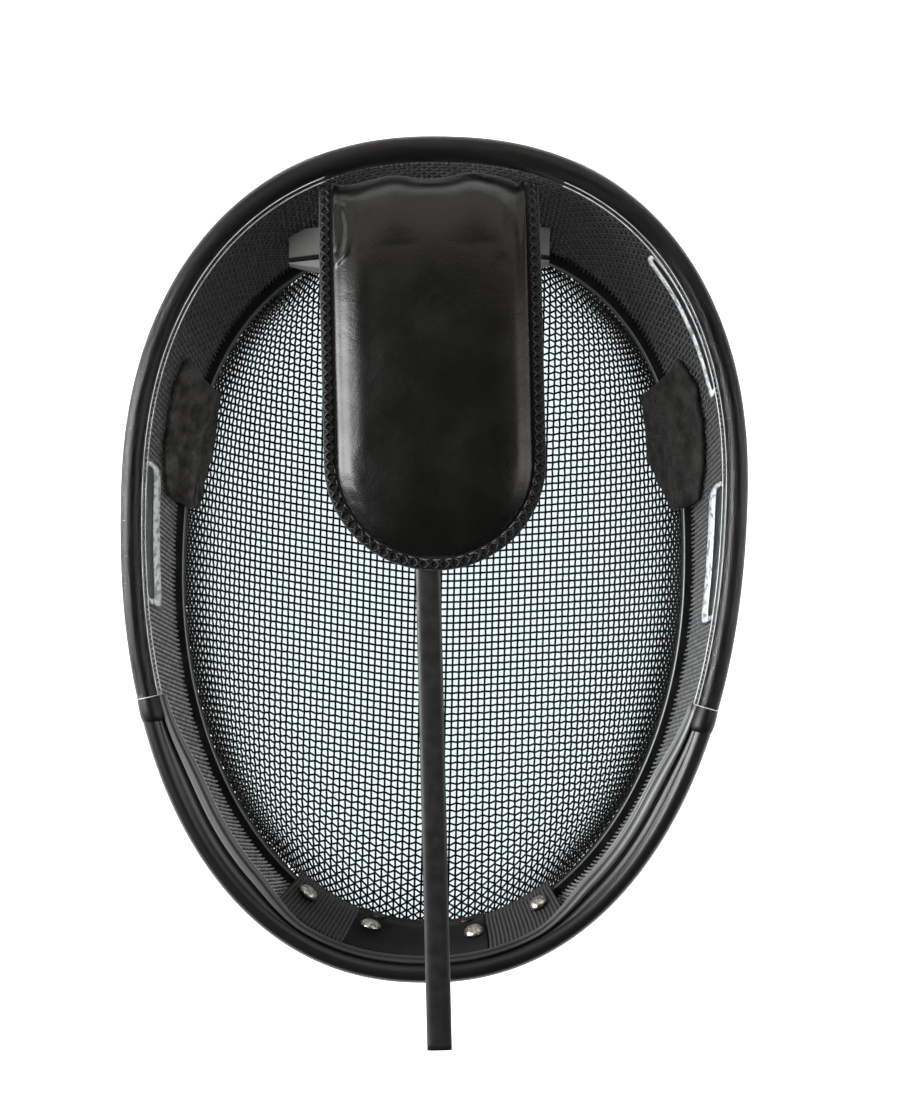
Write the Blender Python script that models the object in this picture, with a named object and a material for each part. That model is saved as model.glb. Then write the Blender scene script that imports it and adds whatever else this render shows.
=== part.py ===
# Fencing mask cage with its tongue, lying on its face with the opening up.
# Frame: +X across the mask, +Y towards the crown, +Z out of the opening.
# Origin: on the ground, under the middle of the whole outline. Sizes in metres.

import math

import bpy
import numpy as np

MM = 0.001
GAP = 0.3 * MM                # clearance between neighbouring solids

# Outlines. Both are plane eggs: a wide superellipse half towards the crown, a longer one towards the chin.
SEAM = {"half_width": 97.2 * MM, "crown": 126.1 * MM, "chin": 140.9 * MM,
        "crown_power": 2.46, "chin_power": 2.04, "centre_y": 7.0 * MM, "lean": 0.0}
RIM = {"half_width": 110.8 * MM, "crown": 128.4 * MM, "chin": 173.7 * MM,
       "crown_power": 2.27, "chin_power": 2.21, "centre_y": 31.3 * MM, "lean": math.radians(0.7)}
OUTLINE_SAMPLES = 1441

# Heights of the rim's middle line: it rises from the chin to the crown
RIM_HEIGHT = 119.5 * MM       # where y is RIM_LEVEL_Y
RIM_LEVEL_Y = 10 * MM
RIM_SLOPE = 0.053

# Woven wire walls, two wires thick
MESH_THICK = 2.0 * MM
FACE_POWER = 2.35             # fullness of the domed face, 2 is an ellipse
FACE_RINGS = 8
LOOP_STEPS = 64               # stations round a whole loop

# Band at the seam
BAND_BOTTOM = 79.5 * MM
BAND_TOP = 86.0 * MM
BAND_IN = -1.5 * MM           # its edges, measured out from the seam outline
BAND_OUT = 3.2 * MM
BAND_CHAMFER = 0.5 * MM
WALL_FOOT_OUT = 2.1 * MM      # the side mesh stands on the outer part of the band
FACE_EDGE_OUT = -0.2 * MM     # the face mesh hangs under its inner part

# Upper roll and its clear sleeve
CORE_RADIUS = 4.0 * MM
CORE_END_RADIUS = 4.4 * MM    # the swollen bare ends
SLEEVE_WALL = 0.8 * MM
SLEEVE_OUTER = 5.1 * MM
SLEEVE_END_Y = -42.0 * MM     # the sleeve stops here on both sides
CORE_END_LENGTH = 11.0 * MM   # bare core past the sleeve
SLEEVE_FLARE = 0.5 * MM
FLARE_SHARE = 0.05            # of the loop, from each end
ROLL_SIDES = 10

# Lower edging: a round bulb outside, a groove, then a lip that leans inwards over the mesh
BULB_RADIUS = 3.6 * MM
BULB_OUT = 0.4 * MM
# how wide the lip is, as a share, against the length along the edging from the middle of the chin
LIP_WIDTHS = [(0, 0.5), (57, 0.5), (66, 0.88), (100, 0.9), (125, 0.95), (145, 0.62), (160, 0.55)]
# (out, up) of the inner part of the edging's section, from the bulb to the underside of the lip
TRIM_LIP = [(-4.6 * MM, 1.5 * MM), (-5.5 * MM, -0.1 * MM), (-6.6 * MM, -0.3 * MM), (-7.3 * MM, 0.7 * MM),
            (-9.6 * MM, -0.1 * MM), (-11.2 * MM, -1.7 * MM), (-10.8 * MM, -2.6 * MM), (-6.5 * MM, -2.0 * MM)]
SADDLE_IN = 1.9 * MM          # the underside's flat seat over the mesh edge
SADDLE_OUT = 1.5 * MM

# Tongue. Its own axes: across, along (from the pad's tip to the crown), height above the spring.
TONGUE_LEAN = math.radians(2.5)
TONGUE_X = -1.5 * MM
TONGUE_Y = 7.0 * MM
SPRING_HALF_WIDTH = 4.5 * MM
SPRING_HALF_THICK = 1.3 * MM
# (along, z) of the spring: free end past the chin, over the opening, round the bend, root on the crown's mesh
SPRING_ROUTE = [(-172.0 * MM, 138 * MM), (-100.0 * MM, 138.9 * MM), (-30.0 * MM, 140.2 * MM),
                (40.0 * MM, 141 * MM), (85.0 * MM, 140.9 * MM), (112.0 * MM, 139 * MM),
                (128.0 * MM, 134.6 * MM), (136.4 * MM, 128.2 * MM), (140.0 * MM, 122.4 * MM),
                (141.2 * MM, 116.6 * MM), (138.85 * MM, 109.6 * MM)]

# Pad: a padded sleeve with a channel for the spring, and a flat binding round its edge
PAD_SHIFT = 3.4 * MM          # the pad's middle lies beside the spring's
PAD_TIP = 4.2 * MM            # along, where the pad's round end starts
PAD_TOP_PAST_BEND = 14.0 * MM  # how far the sleeve follows the spring past along = 128 mm
PAD_ROUND = 33.9 * MM         # length of the round end
PAD_HALF_LOW = 34.9 * MM
PAD_HALF_HIGH = 35.0 * MM
PAD_SEAM_UP = 2.5 * MM        # plane of the binding above the spring's middle
PAD_FRONT = 7.0 * MM
PAD_FRONT_TIP = 2.0 * MM
PAD_FRONT_TOP = 1.6 * MM
PAD_BACK = -3.4 * MM
PAD_SIDES = 20
PAD_TURNS = [21, 34, 49, 67, 90]    # sections round the tip
CHANNEL_HALF_WIDTH = 4.9 * MM
CHANNEL_HALF_THICK = 1.65 * MM
BINDING_WIDTH = 3.9 * MM
BINDING_HALF_THICK = 0.8 * MM

# Foam bumper inside the crown: a thick block on the wires, a thin strip, then a lens-shaped cushion
BUMPER_HALF = 48.7 * MM
BUMPER_X = -7.5 * MM
BUMPER_STEPS = 12
BUMPER_TOP = 104.0 * MM
BUMPER_BOTTOM = 88.0 * MM
BUMPER_FRONT_Y = 126.7 * MM   # front of the block in the middle, it falls back towards the ends
BUMPER_LEAN = 0.029
BUMPER_SWEEP = 3.0 * MM
BLOCK_THICK = 10.5 * MM
STRIP_THICK = 1.1 * MM
CUSHION_THICK = 6.0 * MM

# Hook patches, labels, webbing and tab: thin pieces that follow the inside of the cage
PATCH_THICK = 1.6 * MM
PATCHES = [("hook_patch_left", -1, (29, 75), (14, 18, 20, 22, 22), (10, 11, 13, 13, 8)),
           ("hook_patch_right", 1, (32, 80), (12, 17, 20, 22, 19), (9, 17, 22, 20, 17))]
LABEL_THICK = 0.5 * MM
LABELS = [("label_left", -1, (-13, 36), 14.0), ("label_right", 1, (-15, 33), 14.0),
          ("label_upper", 1, (60, 107), 6.0)]
WEBBING_THICK = 1.5 * MM
TAB_THICK = 1.8 * MM
WEBBING_UP = 19.0 * MM
TAB_UP = 20.0 * MM

RIVET_RADIUS = 4.6 * MM
RIVET_LIFT = 0.6 * MM
RIVETS = [(-49, 0.25), (-21.5, 0.25), (19, 0.0), (46, 0.1)]    # place along the seam from the chin, and tip
INNER_RADIUS = 3.1 * MM
INNER_RIVETS = [-20, 16]
RIVET_HEIGHT = 1.5 * MM
RIVET_SIDES = 14


def clear_scene():
    for item in list(bpy.data.objects):
        bpy.data.objects.remove(item, do_unlink=True)


def material(name, colour, roughness, metallic=0.0, alpha=1.0):
    made = bpy.data.materials.new(name)
    made.use_nodes = True
    shader = made.node_tree.nodes["Principled BSDF"]
    shader.inputs["Base Color"].default_value = (*colour, 1.0)
    shader.inputs["Roughness"].default_value = roughness
    shader.inputs["Metallic"].default_value = metallic
    shader.inputs["Alpha"].default_value = alpha
    return made


def add_object(name, points, faces, look):
    mesh = bpy.data.meshes.new(name)
    mesh.from_pydata([tuple(p) for p in points], [], faces)
    mesh.update()
    mesh.shade_smooth()
    mesh.set_sharp_from_angle(angle=math.radians(40))
    mesh.materials.append(look)
    made = bpy.data.objects.new(name, mesh)
    bpy.context.scene.collection.objects.link(made)
    return made


def loft(name, sections, look, closed):
    """A solid through equal rings of points. Closed runs back to the first ring, open gets two end caps."""
    rings, sides = sections.shape[:2]
    points = sections.reshape(-1, 3)
    faces = []
    for i in range(rings if closed else rings - 1):
        near = i * sides
        far = ((i + 1) % rings) * sides
        for j in range(sides):
            k = (j + 1) % sides
            faces.append((near + j, near + k, far + k, far + j))
    if not closed:
        faces.append(tuple(reversed(range(sides))))
        faces.append(tuple((rings - 1) * sides + j for j in range(sides)))
    made = add_object(name, points, faces, look)
    turn_outwards(made)
    return made


def pipe(name, outer, inner, look):
    """A solid between two lofts with open ends: a sleeve or a piece with a channel through it."""
    rings, sides = outer.shape[:2]
    points = np.concatenate([outer.reshape(-1, 3), inner.reshape(-1, 3)])
    shift = rings * sides
    faces = []
    for i in range(rings - 1):
        near = i * sides
        far = near + sides
        for j in range(sides):
            k = (j + 1) % sides
            faces.append((near + j, near + k, far + k, far + j))
            faces.append((shift + near + j, shift + far + j, shift + far + k, shift + near + k))
    last = (rings - 1) * sides
    for j in range(sides):
        k = (j + 1) % sides
        faces.append((j, shift + j, shift + k, k))
        faces.append((last + j, last + k, shift + last + k, shift + last + j))
    made = add_object(name, points, faces, look)
    turn_outwards(made)
    return made


def turn_outwards(made):
    """Flips every face when the closed mesh encloses a negative volume."""
    mesh = made.data
    volume = 0.0
    for face in mesh.polygons:
        corners = [mesh.vertices[v].co for v in face.vertices]
        for a, b in zip(corners[1:-1], corners[2:]):
            volume += corners[0].dot(a.cross(b))
    if volume < 0.0:
        mesh.flip_normals()


def egg_loop(egg, fractions):
    """Points on an egg outline at fractions of its length: 0 crown, 0.25 the +X side, 0.5 chin."""
    angle = np.linspace(math.pi / 2, -math.pi / 2, OUTLINE_SAMPLES)
    upper = angle >= 0.0
    power = np.where(upper, egg["crown_power"], egg["chin_power"])
    height = np.where(upper, egg["crown"], egg["chin"])
    across = np.abs(np.cos(angle) / egg["half_width"]) ** power
    along = np.abs(np.sin(angle) / height) ** power
    radius = (across + along) ** (-1.0 / power)
    x = radius * np.cos(angle)
    y = radius * np.sin(angle)
    length = np.concatenate([[0.0], np.cumsum(np.hypot(np.diff(x), np.diff(y)))])
    turn = np.mod(fractions, 1.0)
    place = (1.0 - np.abs(1.0 - 2.0 * turn)) * length[-1]
    x = np.where(turn <= 0.5, 1.0, -1.0) * np.interp(place, length, x)
    y = np.interp(place, length, y)
    return np.stack([x + egg["lean"] * y, egg["centre_y"] + y], axis=-1)


def outward(egg, fractions):
    """Level unit directions that point out of an egg outline."""
    step = 1e-3
    run = egg_loop(egg, fractions + step) - egg_loop(egg, fractions - step)
    run /= np.linalg.norm(run, axis=-1, keepdims=True)
    return np.stack([-run[..., 1], run[..., 0]], axis=-1)


def fraction_at_y(egg, y):
    """The fraction on the +X half where the outline passes a place y."""
    halves = np.linspace(0.0, 0.5, 2001)
    return float(np.interp(-y, -egg_loop(egg, halves)[:, 1], halves))


def rim_line(fractions):
    flat = egg_loop(RIM, fractions)
    height = RIM_HEIGHT + RIM_SLOPE * (flat[..., 1] - RIM_LEVEL_Y)
    return np.concatenate([flat, height[..., None]], axis=-1)


def level(direction):
    """A level direction as a 3-D vector."""
    return np.concatenate([direction, np.zeros_like(direction[..., :1])], axis=-1)


def seam_point(fractions, out, height):
    flat = egg_loop(SEAM, fractions) + outward(SEAM, fractions) * out
    z = np.full(flat.shape[:-1] + (1,), height)
    return np.concatenate([flat, z], axis=-1)


def loop_fractions():
    return np.arange(LOOP_STEPS) / LOOP_STEPS


def between(table, fractions):
    """Values of a table of the loop's stations, mixed straight between the two beside each fraction."""
    place = np.mod(fractions, 1.0) * LOOP_STEPS
    low = np.floor(place + 1e-9).astype(int)
    share = (place - low).reshape(np.shape(fractions) + (1,) * (table.ndim - 1))
    low = low % LOOP_STEPS
    return table[low] * (1.0 - share) + table[(low + 1) % LOOP_STEPS] * share


def wall_frame(fractions):
    """Foot of the side mesh on the band, and its directions: up the wall and into the mask."""
    foot = seam_point(fractions, WALL_FOOT_OUT, BAND_TOP + GAP)
    reach = rim_line(fractions) - foot
    up = reach / np.linalg.norm(reach, axis=-1, keepdims=True)
    out = level(outward(SEAM, fractions))
    side = np.cross(out, [0.0, 0.0, 1.0])
    inwards = np.cross(side, up)
    inwards /= np.linalg.norm(inwards, axis=-1, keepdims=True)
    inwards *= -np.sign(np.sum(inwards * out, axis=-1, keepdims=True))
    return foot, up, inwards, np.linalg.norm(reach, axis=-1)


def wall_point(fractions, height, lift):
    """A point at a height up the side mesh's middle facets, lifted off them into the mask."""
    foot, up, inwards, _ = wall_frame(loop_fractions())
    height = np.broadcast_to(np.asarray(height, dtype=float), np.shape(fractions))
    return (between(foot, fractions) + between(up, fractions) * height[..., None]
            + between(inwards, fractions) * lift)


def face_point(fractions, angle, lift):
    """A point of the domed face. angle runs from 0 at the pole to a quarter turn at the seam."""
    centre = np.array([0.0, SEAM["centre_y"]])
    edge = egg_loop(SEAM, fractions) + outward(SEAM, fractions) * FACE_EDGE_OUT
    depth = BAND_BOTTOM - GAP - MESH_THICK / 2

    def surface(at_edge, at_angle):
        spread = np.sin(at_angle) ** (2.0 / FACE_POWER)
        flat = centre + (at_edge - centre) * spread[..., None]
        z = MESH_THICK / 2 + depth * (1.0 - np.cos(at_angle) ** (2.0 / FACE_POWER))
        return np.concatenate([flat, z[..., None]], axis=-1)

    angle = np.broadcast_to(np.asarray(angle, dtype=float), edge.shape[:-1])
    point = surface(edge, angle)
    step = 1e-3
    next_edge = egg_loop(SEAM, fractions + step) + outward(SEAM, fractions + step) * FACE_EDGE_OUT
    along = surface(next_edge, angle) - point
    lower = np.clip(angle - step, 0.0, math.pi / 2)
    down = surface(edge, lower) - point
    down[..., 2] = np.where(lower < math.pi / 2 - 2 * step, down[..., 2], -1.0)
    normal = np.cross(down, along)
    normal /= np.linalg.norm(normal, axis=-1, keepdims=True)
    towards = np.array([0.0, SEAM["centre_y"], 10.0]) - point
    normal *= np.sign(np.sum(normal * towards, axis=-1, keepdims=True))
    return point + normal * lift


def make_face_mesh(look):
    """A dome of two skins, joined at the seam edge and closed at each pole by one point."""
    fractions = loop_fractions()
    angles = np.linspace(0.0, math.pi / 2, FACE_RINGS + 1)[1:]
    skins = []
    for lift in (MESH_THICK / 2, -MESH_THICK / 2):
        rings = [face_point(fractions, angle, lift) for angle in angles[:-1]]
        edge = seam_point(fractions, FACE_EDGE_OUT - lift, BAND_BOTTOM - GAP)
        skins.append(np.stack(rings + [edge]))
    points = np.concatenate([skins[0].reshape(-1, 3), skins[1].reshape(-1, 3)])
    shift = FACE_RINGS * LOOP_STEPS
    poles = [[0.0, SEAM["centre_y"], MESH_THICK], [0.0, SEAM["centre_y"], 0.0]]
    points = np.concatenate([points, poles])
    faces = []
    for j in range(LOOP_STEPS):
        k = (j + 1) % LOOP_STEPS
        faces.append((2 * shift, j, k))
        faces.append((2 * shift + 1, shift + k, shift + j))
        for i in range(FACE_RINGS - 1):
            a, b = i * LOOP_STEPS, (i + 1) * LOOP_STEPS
            faces.append((a + j, b + j, b + k, a + k))
            faces.append((shift + a + j, shift + a + k, shift + b + k, shift + b + j))
        last = (FACE_RINGS - 1) * LOOP_STEPS
        faces.append((last + j, shift + last + j, shift + last + k, last + k))
    made = add_object("face_mesh", points, faces, look)
    turn_outwards(made)


def sleeve_radius(from_crown, sleeve_end):
    """Outer radius of the clear sleeve, which flares towards its two ends."""
    flare = np.clip(1.0 - (sleeve_end - from_crown) / FLARE_SHARE, 0.0, 1.0)
    return SLEEVE_OUTER + SLEEVE_FLARE * flare ** 2


def wall_reach(fractions, sleeve_end, core_end):
    """Length of the side mesh up to what sits on it: the sleeved roll, or the smaller edging at the chin."""
    _, up, _, full = wall_frame(fractions)
    run = rim_line(fractions + 1e-3) - rim_line(fractions - 1e-3)
    run /= np.linalg.norm(run, axis=-1, keepdims=True)
    square = np.sqrt(1.0 - np.sum(up * run, axis=-1) ** 2)
    from_crown = np.minimum(np.mod(fractions, 1.0), 1.0 - np.mod(fractions, 1.0))
    along_chin = np.clip((from_crown - core_end - 1.0 / LOOP_STEPS) / 0.02, 0.0, 1.0)
    roll = sleeve_radius(from_crown, sleeve_end) + GAP + 0.1 * MM
    edging = BULB_RADIUS + GAP
    return full - (roll + (edging - roll) * along_chin) / square


def make_side_mesh(look, sleeve_end, core_end):
    fractions = loop_fractions()
    reach = wall_reach(fractions, sleeve_end, core_end)
    corners = []
    for height, lift in ((0.0, -0.5), (0.0, 0.5), (0.5, 0.5), (1.0, 0.5), (1.0, -0.5), (0.5, -0.5)):
        corners.append(wall_point(fractions, reach * height, MESH_THICK * lift))
    sections = np.stack(corners, axis=1)
    # the foot stands flat on the band
    sections[:, 0, 2] = BAND_TOP + GAP
    sections[:, 1, 2] = BAND_TOP + GAP
    loft("side_mesh", sections, look, closed=True)


def make_seam_band(look):
    fractions = loop_fractions()
    c = BAND_CHAMFER
    profile = [(BAND_OUT, BAND_BOTTOM + c), (BAND_OUT, BAND_TOP), (BAND_IN + c, BAND_TOP),
               (BAND_IN, BAND_TOP - c), (BAND_IN, BAND_BOTTOM), (BAND_OUT - c, BAND_BOTTOM)]
    sections = np.stack([seam_point(fractions, out, height) for out, height in profile], axis=1)
    loft("seam_band", sections, look, closed=True)


def stations_between(first, last):
    """The loop's stations between two fractions, and these two."""
    inside = np.arange(math.ceil(first * LOOP_STEPS + 0.2), math.floor(last * LOOP_STEPS - 0.2) + 1)
    return np.concatenate([[first], inside / LOOP_STEPS, [last]])


def rim_rings(fractions, radius, sides):
    """Round sections along the rim's middle line."""
    turn = np.arange(sides) * 2 * math.pi / sides
    out = level(outward(RIM, fractions))[:, None, :]
    radius = np.broadcast_to(radius, fractions.shape)[:, None, None]
    up = np.array([0.0, 0.0, 1.0])
    ring = out * np.cos(turn)[None, :, None] + up * np.sin(turn)[None, :, None]
    return rim_line(fractions)[:, None, :] + ring * radius


def make_upper_rim(core_look, sleeve_look, sleeve_end, core_end, perimeter):
    """The roll from ear to ear. Its bare ends swell, round off and stop on the lower edging."""
    tail = np.array([0.0, 0.8, 2.4, 5.0, 8.5]) * MM
    tail_radius = np.array([1.6, 3.0, 4.0, 4.4, 4.3]) * MM * (CORE_END_RADIUS / (4.4 * MM))
    ends = core_end - tail / perimeter
    body = stations_between(-sleeve_end, sleeve_end)
    fractions = np.concatenate([-ends, body, ends[::-1]])
    radius = np.concatenate([tail_radius, np.full(len(body), CORE_RADIUS), tail_radius[::-1]])
    loft("upper_rim", rim_rings(fractions, radius, ROLL_SIDES), core_look, closed=False)
    outer_radius = sleeve_radius(np.abs(body), sleeve_end)
    outer = rim_rings(body, outer_radius, ROLL_SIDES)
    inner = rim_rings(body, outer_radius - SLEEVE_WALL, ROLL_SIDES)
    pipe("rim_sleeve", outer, inner, sleeve_look)


def make_lower_rim(look, core_end, perimeter):
    """The chin edging: bulb, groove and lip, with a flat seat over the edge of the mesh."""
    start = core_end + GAP / perimeter
    fractions = stations_between(start, 1.0 - start)
    middle = rim_line(fractions)
    out = level(outward(RIM, fractions))
    _, up_wall, inwards, _ = wall_frame(fractions)
    up = np.array([0.0, 0.0, 1.0])
    from_chin = np.abs(fractions - 0.5) * perimeter / MM
    widen = np.interp(from_chin, *np.array(LIP_WIDTHS).T)
    ring = []
    for degrees in (-40, 0, 45, 90, 135):
        turn = math.radians(degrees)
        side = BULB_OUT + BULB_RADIUS * math.cos(turn)
        ring.append(middle + out * side + up * BULB_RADIUS * math.sin(turn))
    for side, height in TRIM_LIP:
        ring.append(middle + out * (side * widen)[:, None] + up * height)
    ring.append(middle - up_wall * BULB_RADIUS + inwards * SADDLE_IN)
    ring.append(middle - up_wall * BULB_RADIUS - inwards * SADDLE_OUT)
    loft("lower_rim", np.stack(ring, axis=1), look, closed=False)


def smooth_route(route, per_span):
    """A Catmull-Rom curve through the route's points."""
    knots = np.array(route)
    padded = np.concatenate([[2 * knots[0] - knots[1]], knots, [2 * knots[-1] - knots[-2]]])
    t = np.linspace(0.0, 1.0, per_span, endpoint=False)[:, None]
    pieces = []
    for a, b, c, d in zip(padded[:-3], padded[1:-2], padded[2:-1], padded[3:]):
        pieces.append(0.5 * (2 * b + (c - a) * t + (2 * a - 5 * b + 4 * c - d) * t ** 2
                             + (3 * b - a - 3 * c + d) * t ** 3))
    return np.concatenate(pieces + [knots[-1:]])


class Tongue:
    """Places points given across, along the spring and above it."""

    def __init__(self):
        self.curve = smooth_route(SPRING_ROUTE, 24)
        steps = np.hypot(*np.diff(self.curve, axis=0).T)
        self.length = np.concatenate([[0.0], np.cumsum(steps)])
        run = np.gradient(self.curve, self.length, axis=0)
        self.run = run / np.linalg.norm(run, axis=1, keepdims=True)

    def at(self, along):
        """Length along the spring where it passes a place along the tongue, before the bend."""
        bend = int(np.argmax(self.curve[:, 0]))
        return float(np.interp(along, self.curve[:bend, 0], self.length[:bend]))

    def point(self, across, length, height):
        across, length, height = np.broadcast_arrays(across, length, height)
        run = np.stack([np.interp(length, self.length, self.run[:, i]) for i in (0, 1)], axis=-1)
        place = np.stack([np.interp(length, self.length, self.curve[:, i]) for i in (0, 1)], axis=-1)
        along = place[..., 0] - run[..., 1] * height
        z = place[..., 1] + run[..., 0] * height
        x = TONGUE_X + across * math.cos(TONGUE_LEAN) - along * math.sin(TONGUE_LEAN)
        y = TONGUE_Y + across * math.sin(TONGUE_LEAN) + along * math.cos(TONGUE_LEAN)
        return np.stack([x, y, z], axis=-1)


def rounded_ring(half_width, above, below, power, sides):
    """Superellipse section, as (across, height) pairs, with its own height above and below."""
    turn = (np.arange(sides) + 0.5) * 2 * math.pi / sides
    across = np.sign(np.cos(turn)) * np.abs(np.cos(turn)) ** (2.0 / power) * half_width
    tall = np.where(np.sin(turn) >= 0.0, above, below)
    height = np.sign(np.sin(turn)) * np.abs(np.sin(turn)) ** (2.0 / power) * tall
    return across, height


def pad_ends(tongue):
    """Lengths along the spring of the pad's tip and its top."""
    return tongue.at(PAD_TIP), tongue.at(128 * MM) + PAD_TOP_PAST_BEND


def pad_stations(tongue):
    """Lengths along the spring of the pad's sections: close at the tip and round the bend."""
    tip, top = pad_ends(tongue)
    round_end = tip + PAD_ROUND * (1.0 - np.cos(np.radians(PAD_TURNS)))
    flat = np.linspace(round_end[-1], tongue.at(105 * MM), 5)[1:]
    bend = np.linspace(flat[-1], top, 7)[1:]
    return np.concatenate([round_end, flat, bend])


def make_spring(tongue, look):
    tip, top = pad_ends(tongue)
    free = np.linspace(0.0, tip, 9)[:-1]
    root = np.linspace(top, tongue.length[-1], 5)[1:]
    lengths = np.concatenate([free, pad_stations(tongue), root])
    across, height = rounded_ring(SPRING_HALF_WIDTH, SPRING_HALF_THICK, SPRING_HALF_THICK, 3.5, 12)
    sections = tongue.point(across[None, :], lengths[:, None], height[None, :])
    loft("tongue_spring", sections, look, closed=False)


def pad_half_width(from_tip, pad_length):
    """Half the pad's width: a quarter ellipse at the tip, then a slow taper outwards to the top."""
    round_part = np.clip(1.0 - from_tip / PAD_ROUND, 0.0, 1.0)
    taper = PAD_HALF_LOW + (PAD_HALF_HIGH - PAD_HALF_LOW) * np.clip(from_tip / pad_length, 0.0, 1.0)
    return taper * np.sqrt(1.0 - round_part ** 2)


def make_pad(tongue, look):
    """The padded sleeve. Each section is an outer ring and the channel's ring, matched by rays."""
    tip, top = pad_ends(tongue)
    pad_length = top - tip
    outer, inner = [], []
    for place in pad_stations(tongue):
        from_tip = place - tip
        grow = math.sin(min(from_tip / PAD_ROUND, 1.0) * math.pi / 2)
        fade = math.sin(min((pad_length - from_tip) / (24 * MM), 1.0) * math.pi / 2)
        front = min(PAD_FRONT_TIP + (PAD_FRONT - PAD_FRONT_TIP) * grow,
                    PAD_FRONT_TOP + (PAD_FRONT - PAD_FRONT_TOP) * fade)
        half = float(pad_half_width(np.array(from_tip), pad_length))
        across, height = rounded_ring(half, front, PAD_SEAM_UP - PAD_BACK, 2.7, PAD_SIDES)
        across = across + PAD_SHIFT
        height = height + PAD_SEAM_UP
        # the channel's point on the ray from the spring's middle to the outer point
        scale = np.minimum(CHANNEL_HALF_WIDTH / np.maximum(np.abs(across), 1e-9),
                           CHANNEL_HALF_THICK / np.maximum(np.abs(height), 1e-9))
        outer.append(tongue.point(across, tip + from_tip, height))
        inner.append(tongue.point(across * scale, tip + from_tip, height * scale))
    pipe("tongue_pad", np.stack(outer), np.stack(inner), look)


def make_binding(tongue, look):
    """The flat edge: down one side of the pad, round its tip and up the other side."""
    tip, top = pad_ends(tongue)
    pad_length = top - tip
    straight = pad_stations(tongue)[-2:4:-1] - tip
    curve = PAD_ROUND * (1.0 - np.cos(np.radians(PAD_TURNS[::-1] + [10, 0])))
    from_tip = np.concatenate([straight, curve])
    half = pad_half_width(from_tip, pad_length)
    across = np.concatenate([half, -half[:-1][::-1]])
    along = np.concatenate([from_tip, from_tip[:-1][::-1]])
    path = np.stack([across, along], axis=1)
    run = np.gradient(path, axis=0)
    run /= np.linalg.norm(run, axis=1, keepdims=True)
    away = np.stack([-run[:, 1], run[:, 0]], axis=1)
    ring = []
    for out, height in ((0.0, -1.0), (1.0, -1.0), (1.0, 1.0), (0.0, 1.0)):
        edge = path + away * (GAP + BINDING_WIDTH * out)
        ring.append(tongue.point(edge[:, 0] + PAD_SHIFT, tip + edge[:, 1],
                                 PAD_SEAM_UP + BINDING_HALF_THICK * height))
    loft("pad_binding", np.stack(ring, axis=1), look, closed=False)


def level_wall_y(x, z, lift):
    """y of the crown's wall at places x and a height z, lifted off the wires into the mask."""
    fractions = np.linspace(-0.16, 0.16, 641)
    foot = wall_point(fractions, 0.0, lift)
    head = wall_point(fractions, 10 * MM, lift)
    rise = (z - foot[:, 2]) / (head[:, 2] - foot[:, 2])
    line = foot + (head - foot) * rise[:, None]
    return np.interp(x, line[:, 0], line[:, 1])


def make_bumper(block_look, strip_look, cushion_look):
    """Three foam layers between the pad and the crown's wires, side by side along y."""
    spread = np.sin(np.linspace(-1.0, 1.0, BUMPER_STEPS + 1) * math.pi / 2)
    x = BUMPER_X + spread * BUMPER_HALF
    front = BUMPER_FRONT_Y - BUMPER_SWEEP * spread ** 2 + BUMPER_LEAN * (x - BUMPER_X)
    lift = MESH_THICK / 2 + GAP
    # the block's foot rises where the wires lean in under it
    heights = np.linspace(BUMPER_BOTTOM, BUMPER_TOP - 4 * MM, 25)
    walls = np.stack([level_wall_y(x, z, lift) for z in heights])
    foot = np.array([np.interp(y + 2 * MM, wall, heights) for y, wall in zip(front, walls.T)])
    top = np.full_like(x, BUMPER_TOP)
    back_foot = np.array([level_wall_y(place, z, lift) for place, z in zip(x, foot)])
    back_top = np.minimum(level_wall_y(x, BUMPER_TOP, lift), front + BLOCK_THICK)
    back_foot = np.minimum(back_foot, front + BLOCK_THICK)
    strip_front = front - GAP - STRIP_THICK
    cushion_back = strip_front - GAP
    cushion_front = cushion_back - 0.4 * MM - CUSHION_THICK * (1.0 - np.abs(spread) ** 2.6)
    layers = [("forehead_block", front, back_foot, back_top, block_look),
              ("forehead_strip", strip_front, front - GAP, front - GAP, strip_look),
              ("forehead_cushion", cushion_front, cushion_back, cushion_back, cushion_look)]
    for name, near, far_foot, far_top, look in layers:
        ring = [(near, foot), (near, top), (far_top, top), (far_foot, foot)]
        sections = np.stack([np.stack([x, y, z], axis=1) for y, z in ring], axis=1)
        loft(name, sections, look, closed=False)


def face_facets(fractions, turn, lift):
    """Points on the dome's own inner facets, a turn below its edge, lifted off them into the mask."""
    stations = loop_fractions()
    angles = np.linspace(0.0, math.pi / 2, FACE_RINGS + 1)
    rings = [face_point(stations, a, MESH_THICK / 2 + lift) for a in angles[1:-1]]
    rings.append(seam_point(stations, FACE_EDGE_OUT - MESH_THICK / 2 - lift, BAND_BOTTOM - GAP))
    across = np.stack([between(ring, fractions) for ring in rings])
    place = (1.0 - np.broadcast_to(turn, fractions.shape) / (math.pi / 2)) * FACE_RINGS - 1.0
    low = np.clip(np.floor(place).astype(int), 0, FACE_RINGS - 2)
    share = (place - low)[:, None]
    item = np.arange(len(fractions))
    return across[low, item] * (1.0 - share) + across[low + 1, item] * share


def skin(fractions, up, down, lift):
    """Rows of points down the inside of the cage, lifted off it: side mesh, band, then domed face."""
    stations = loop_fractions()
    return np.stack([wall_point(fractions, up, MESH_THICK / 2 + lift),
                     wall_point(fractions, up * 0.5, MESH_THICK / 2 + lift),
                     between(seam_point(stations, BAND_IN - lift, BAND_TOP + GAP), fractions),
                     between(seam_point(stations, BAND_IN - lift, BAND_BOTTOM), fractions),
                     face_facets(fractions, down * 0.5, lift),
                     face_facets(fractions, down, lift)], axis=1)


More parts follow.
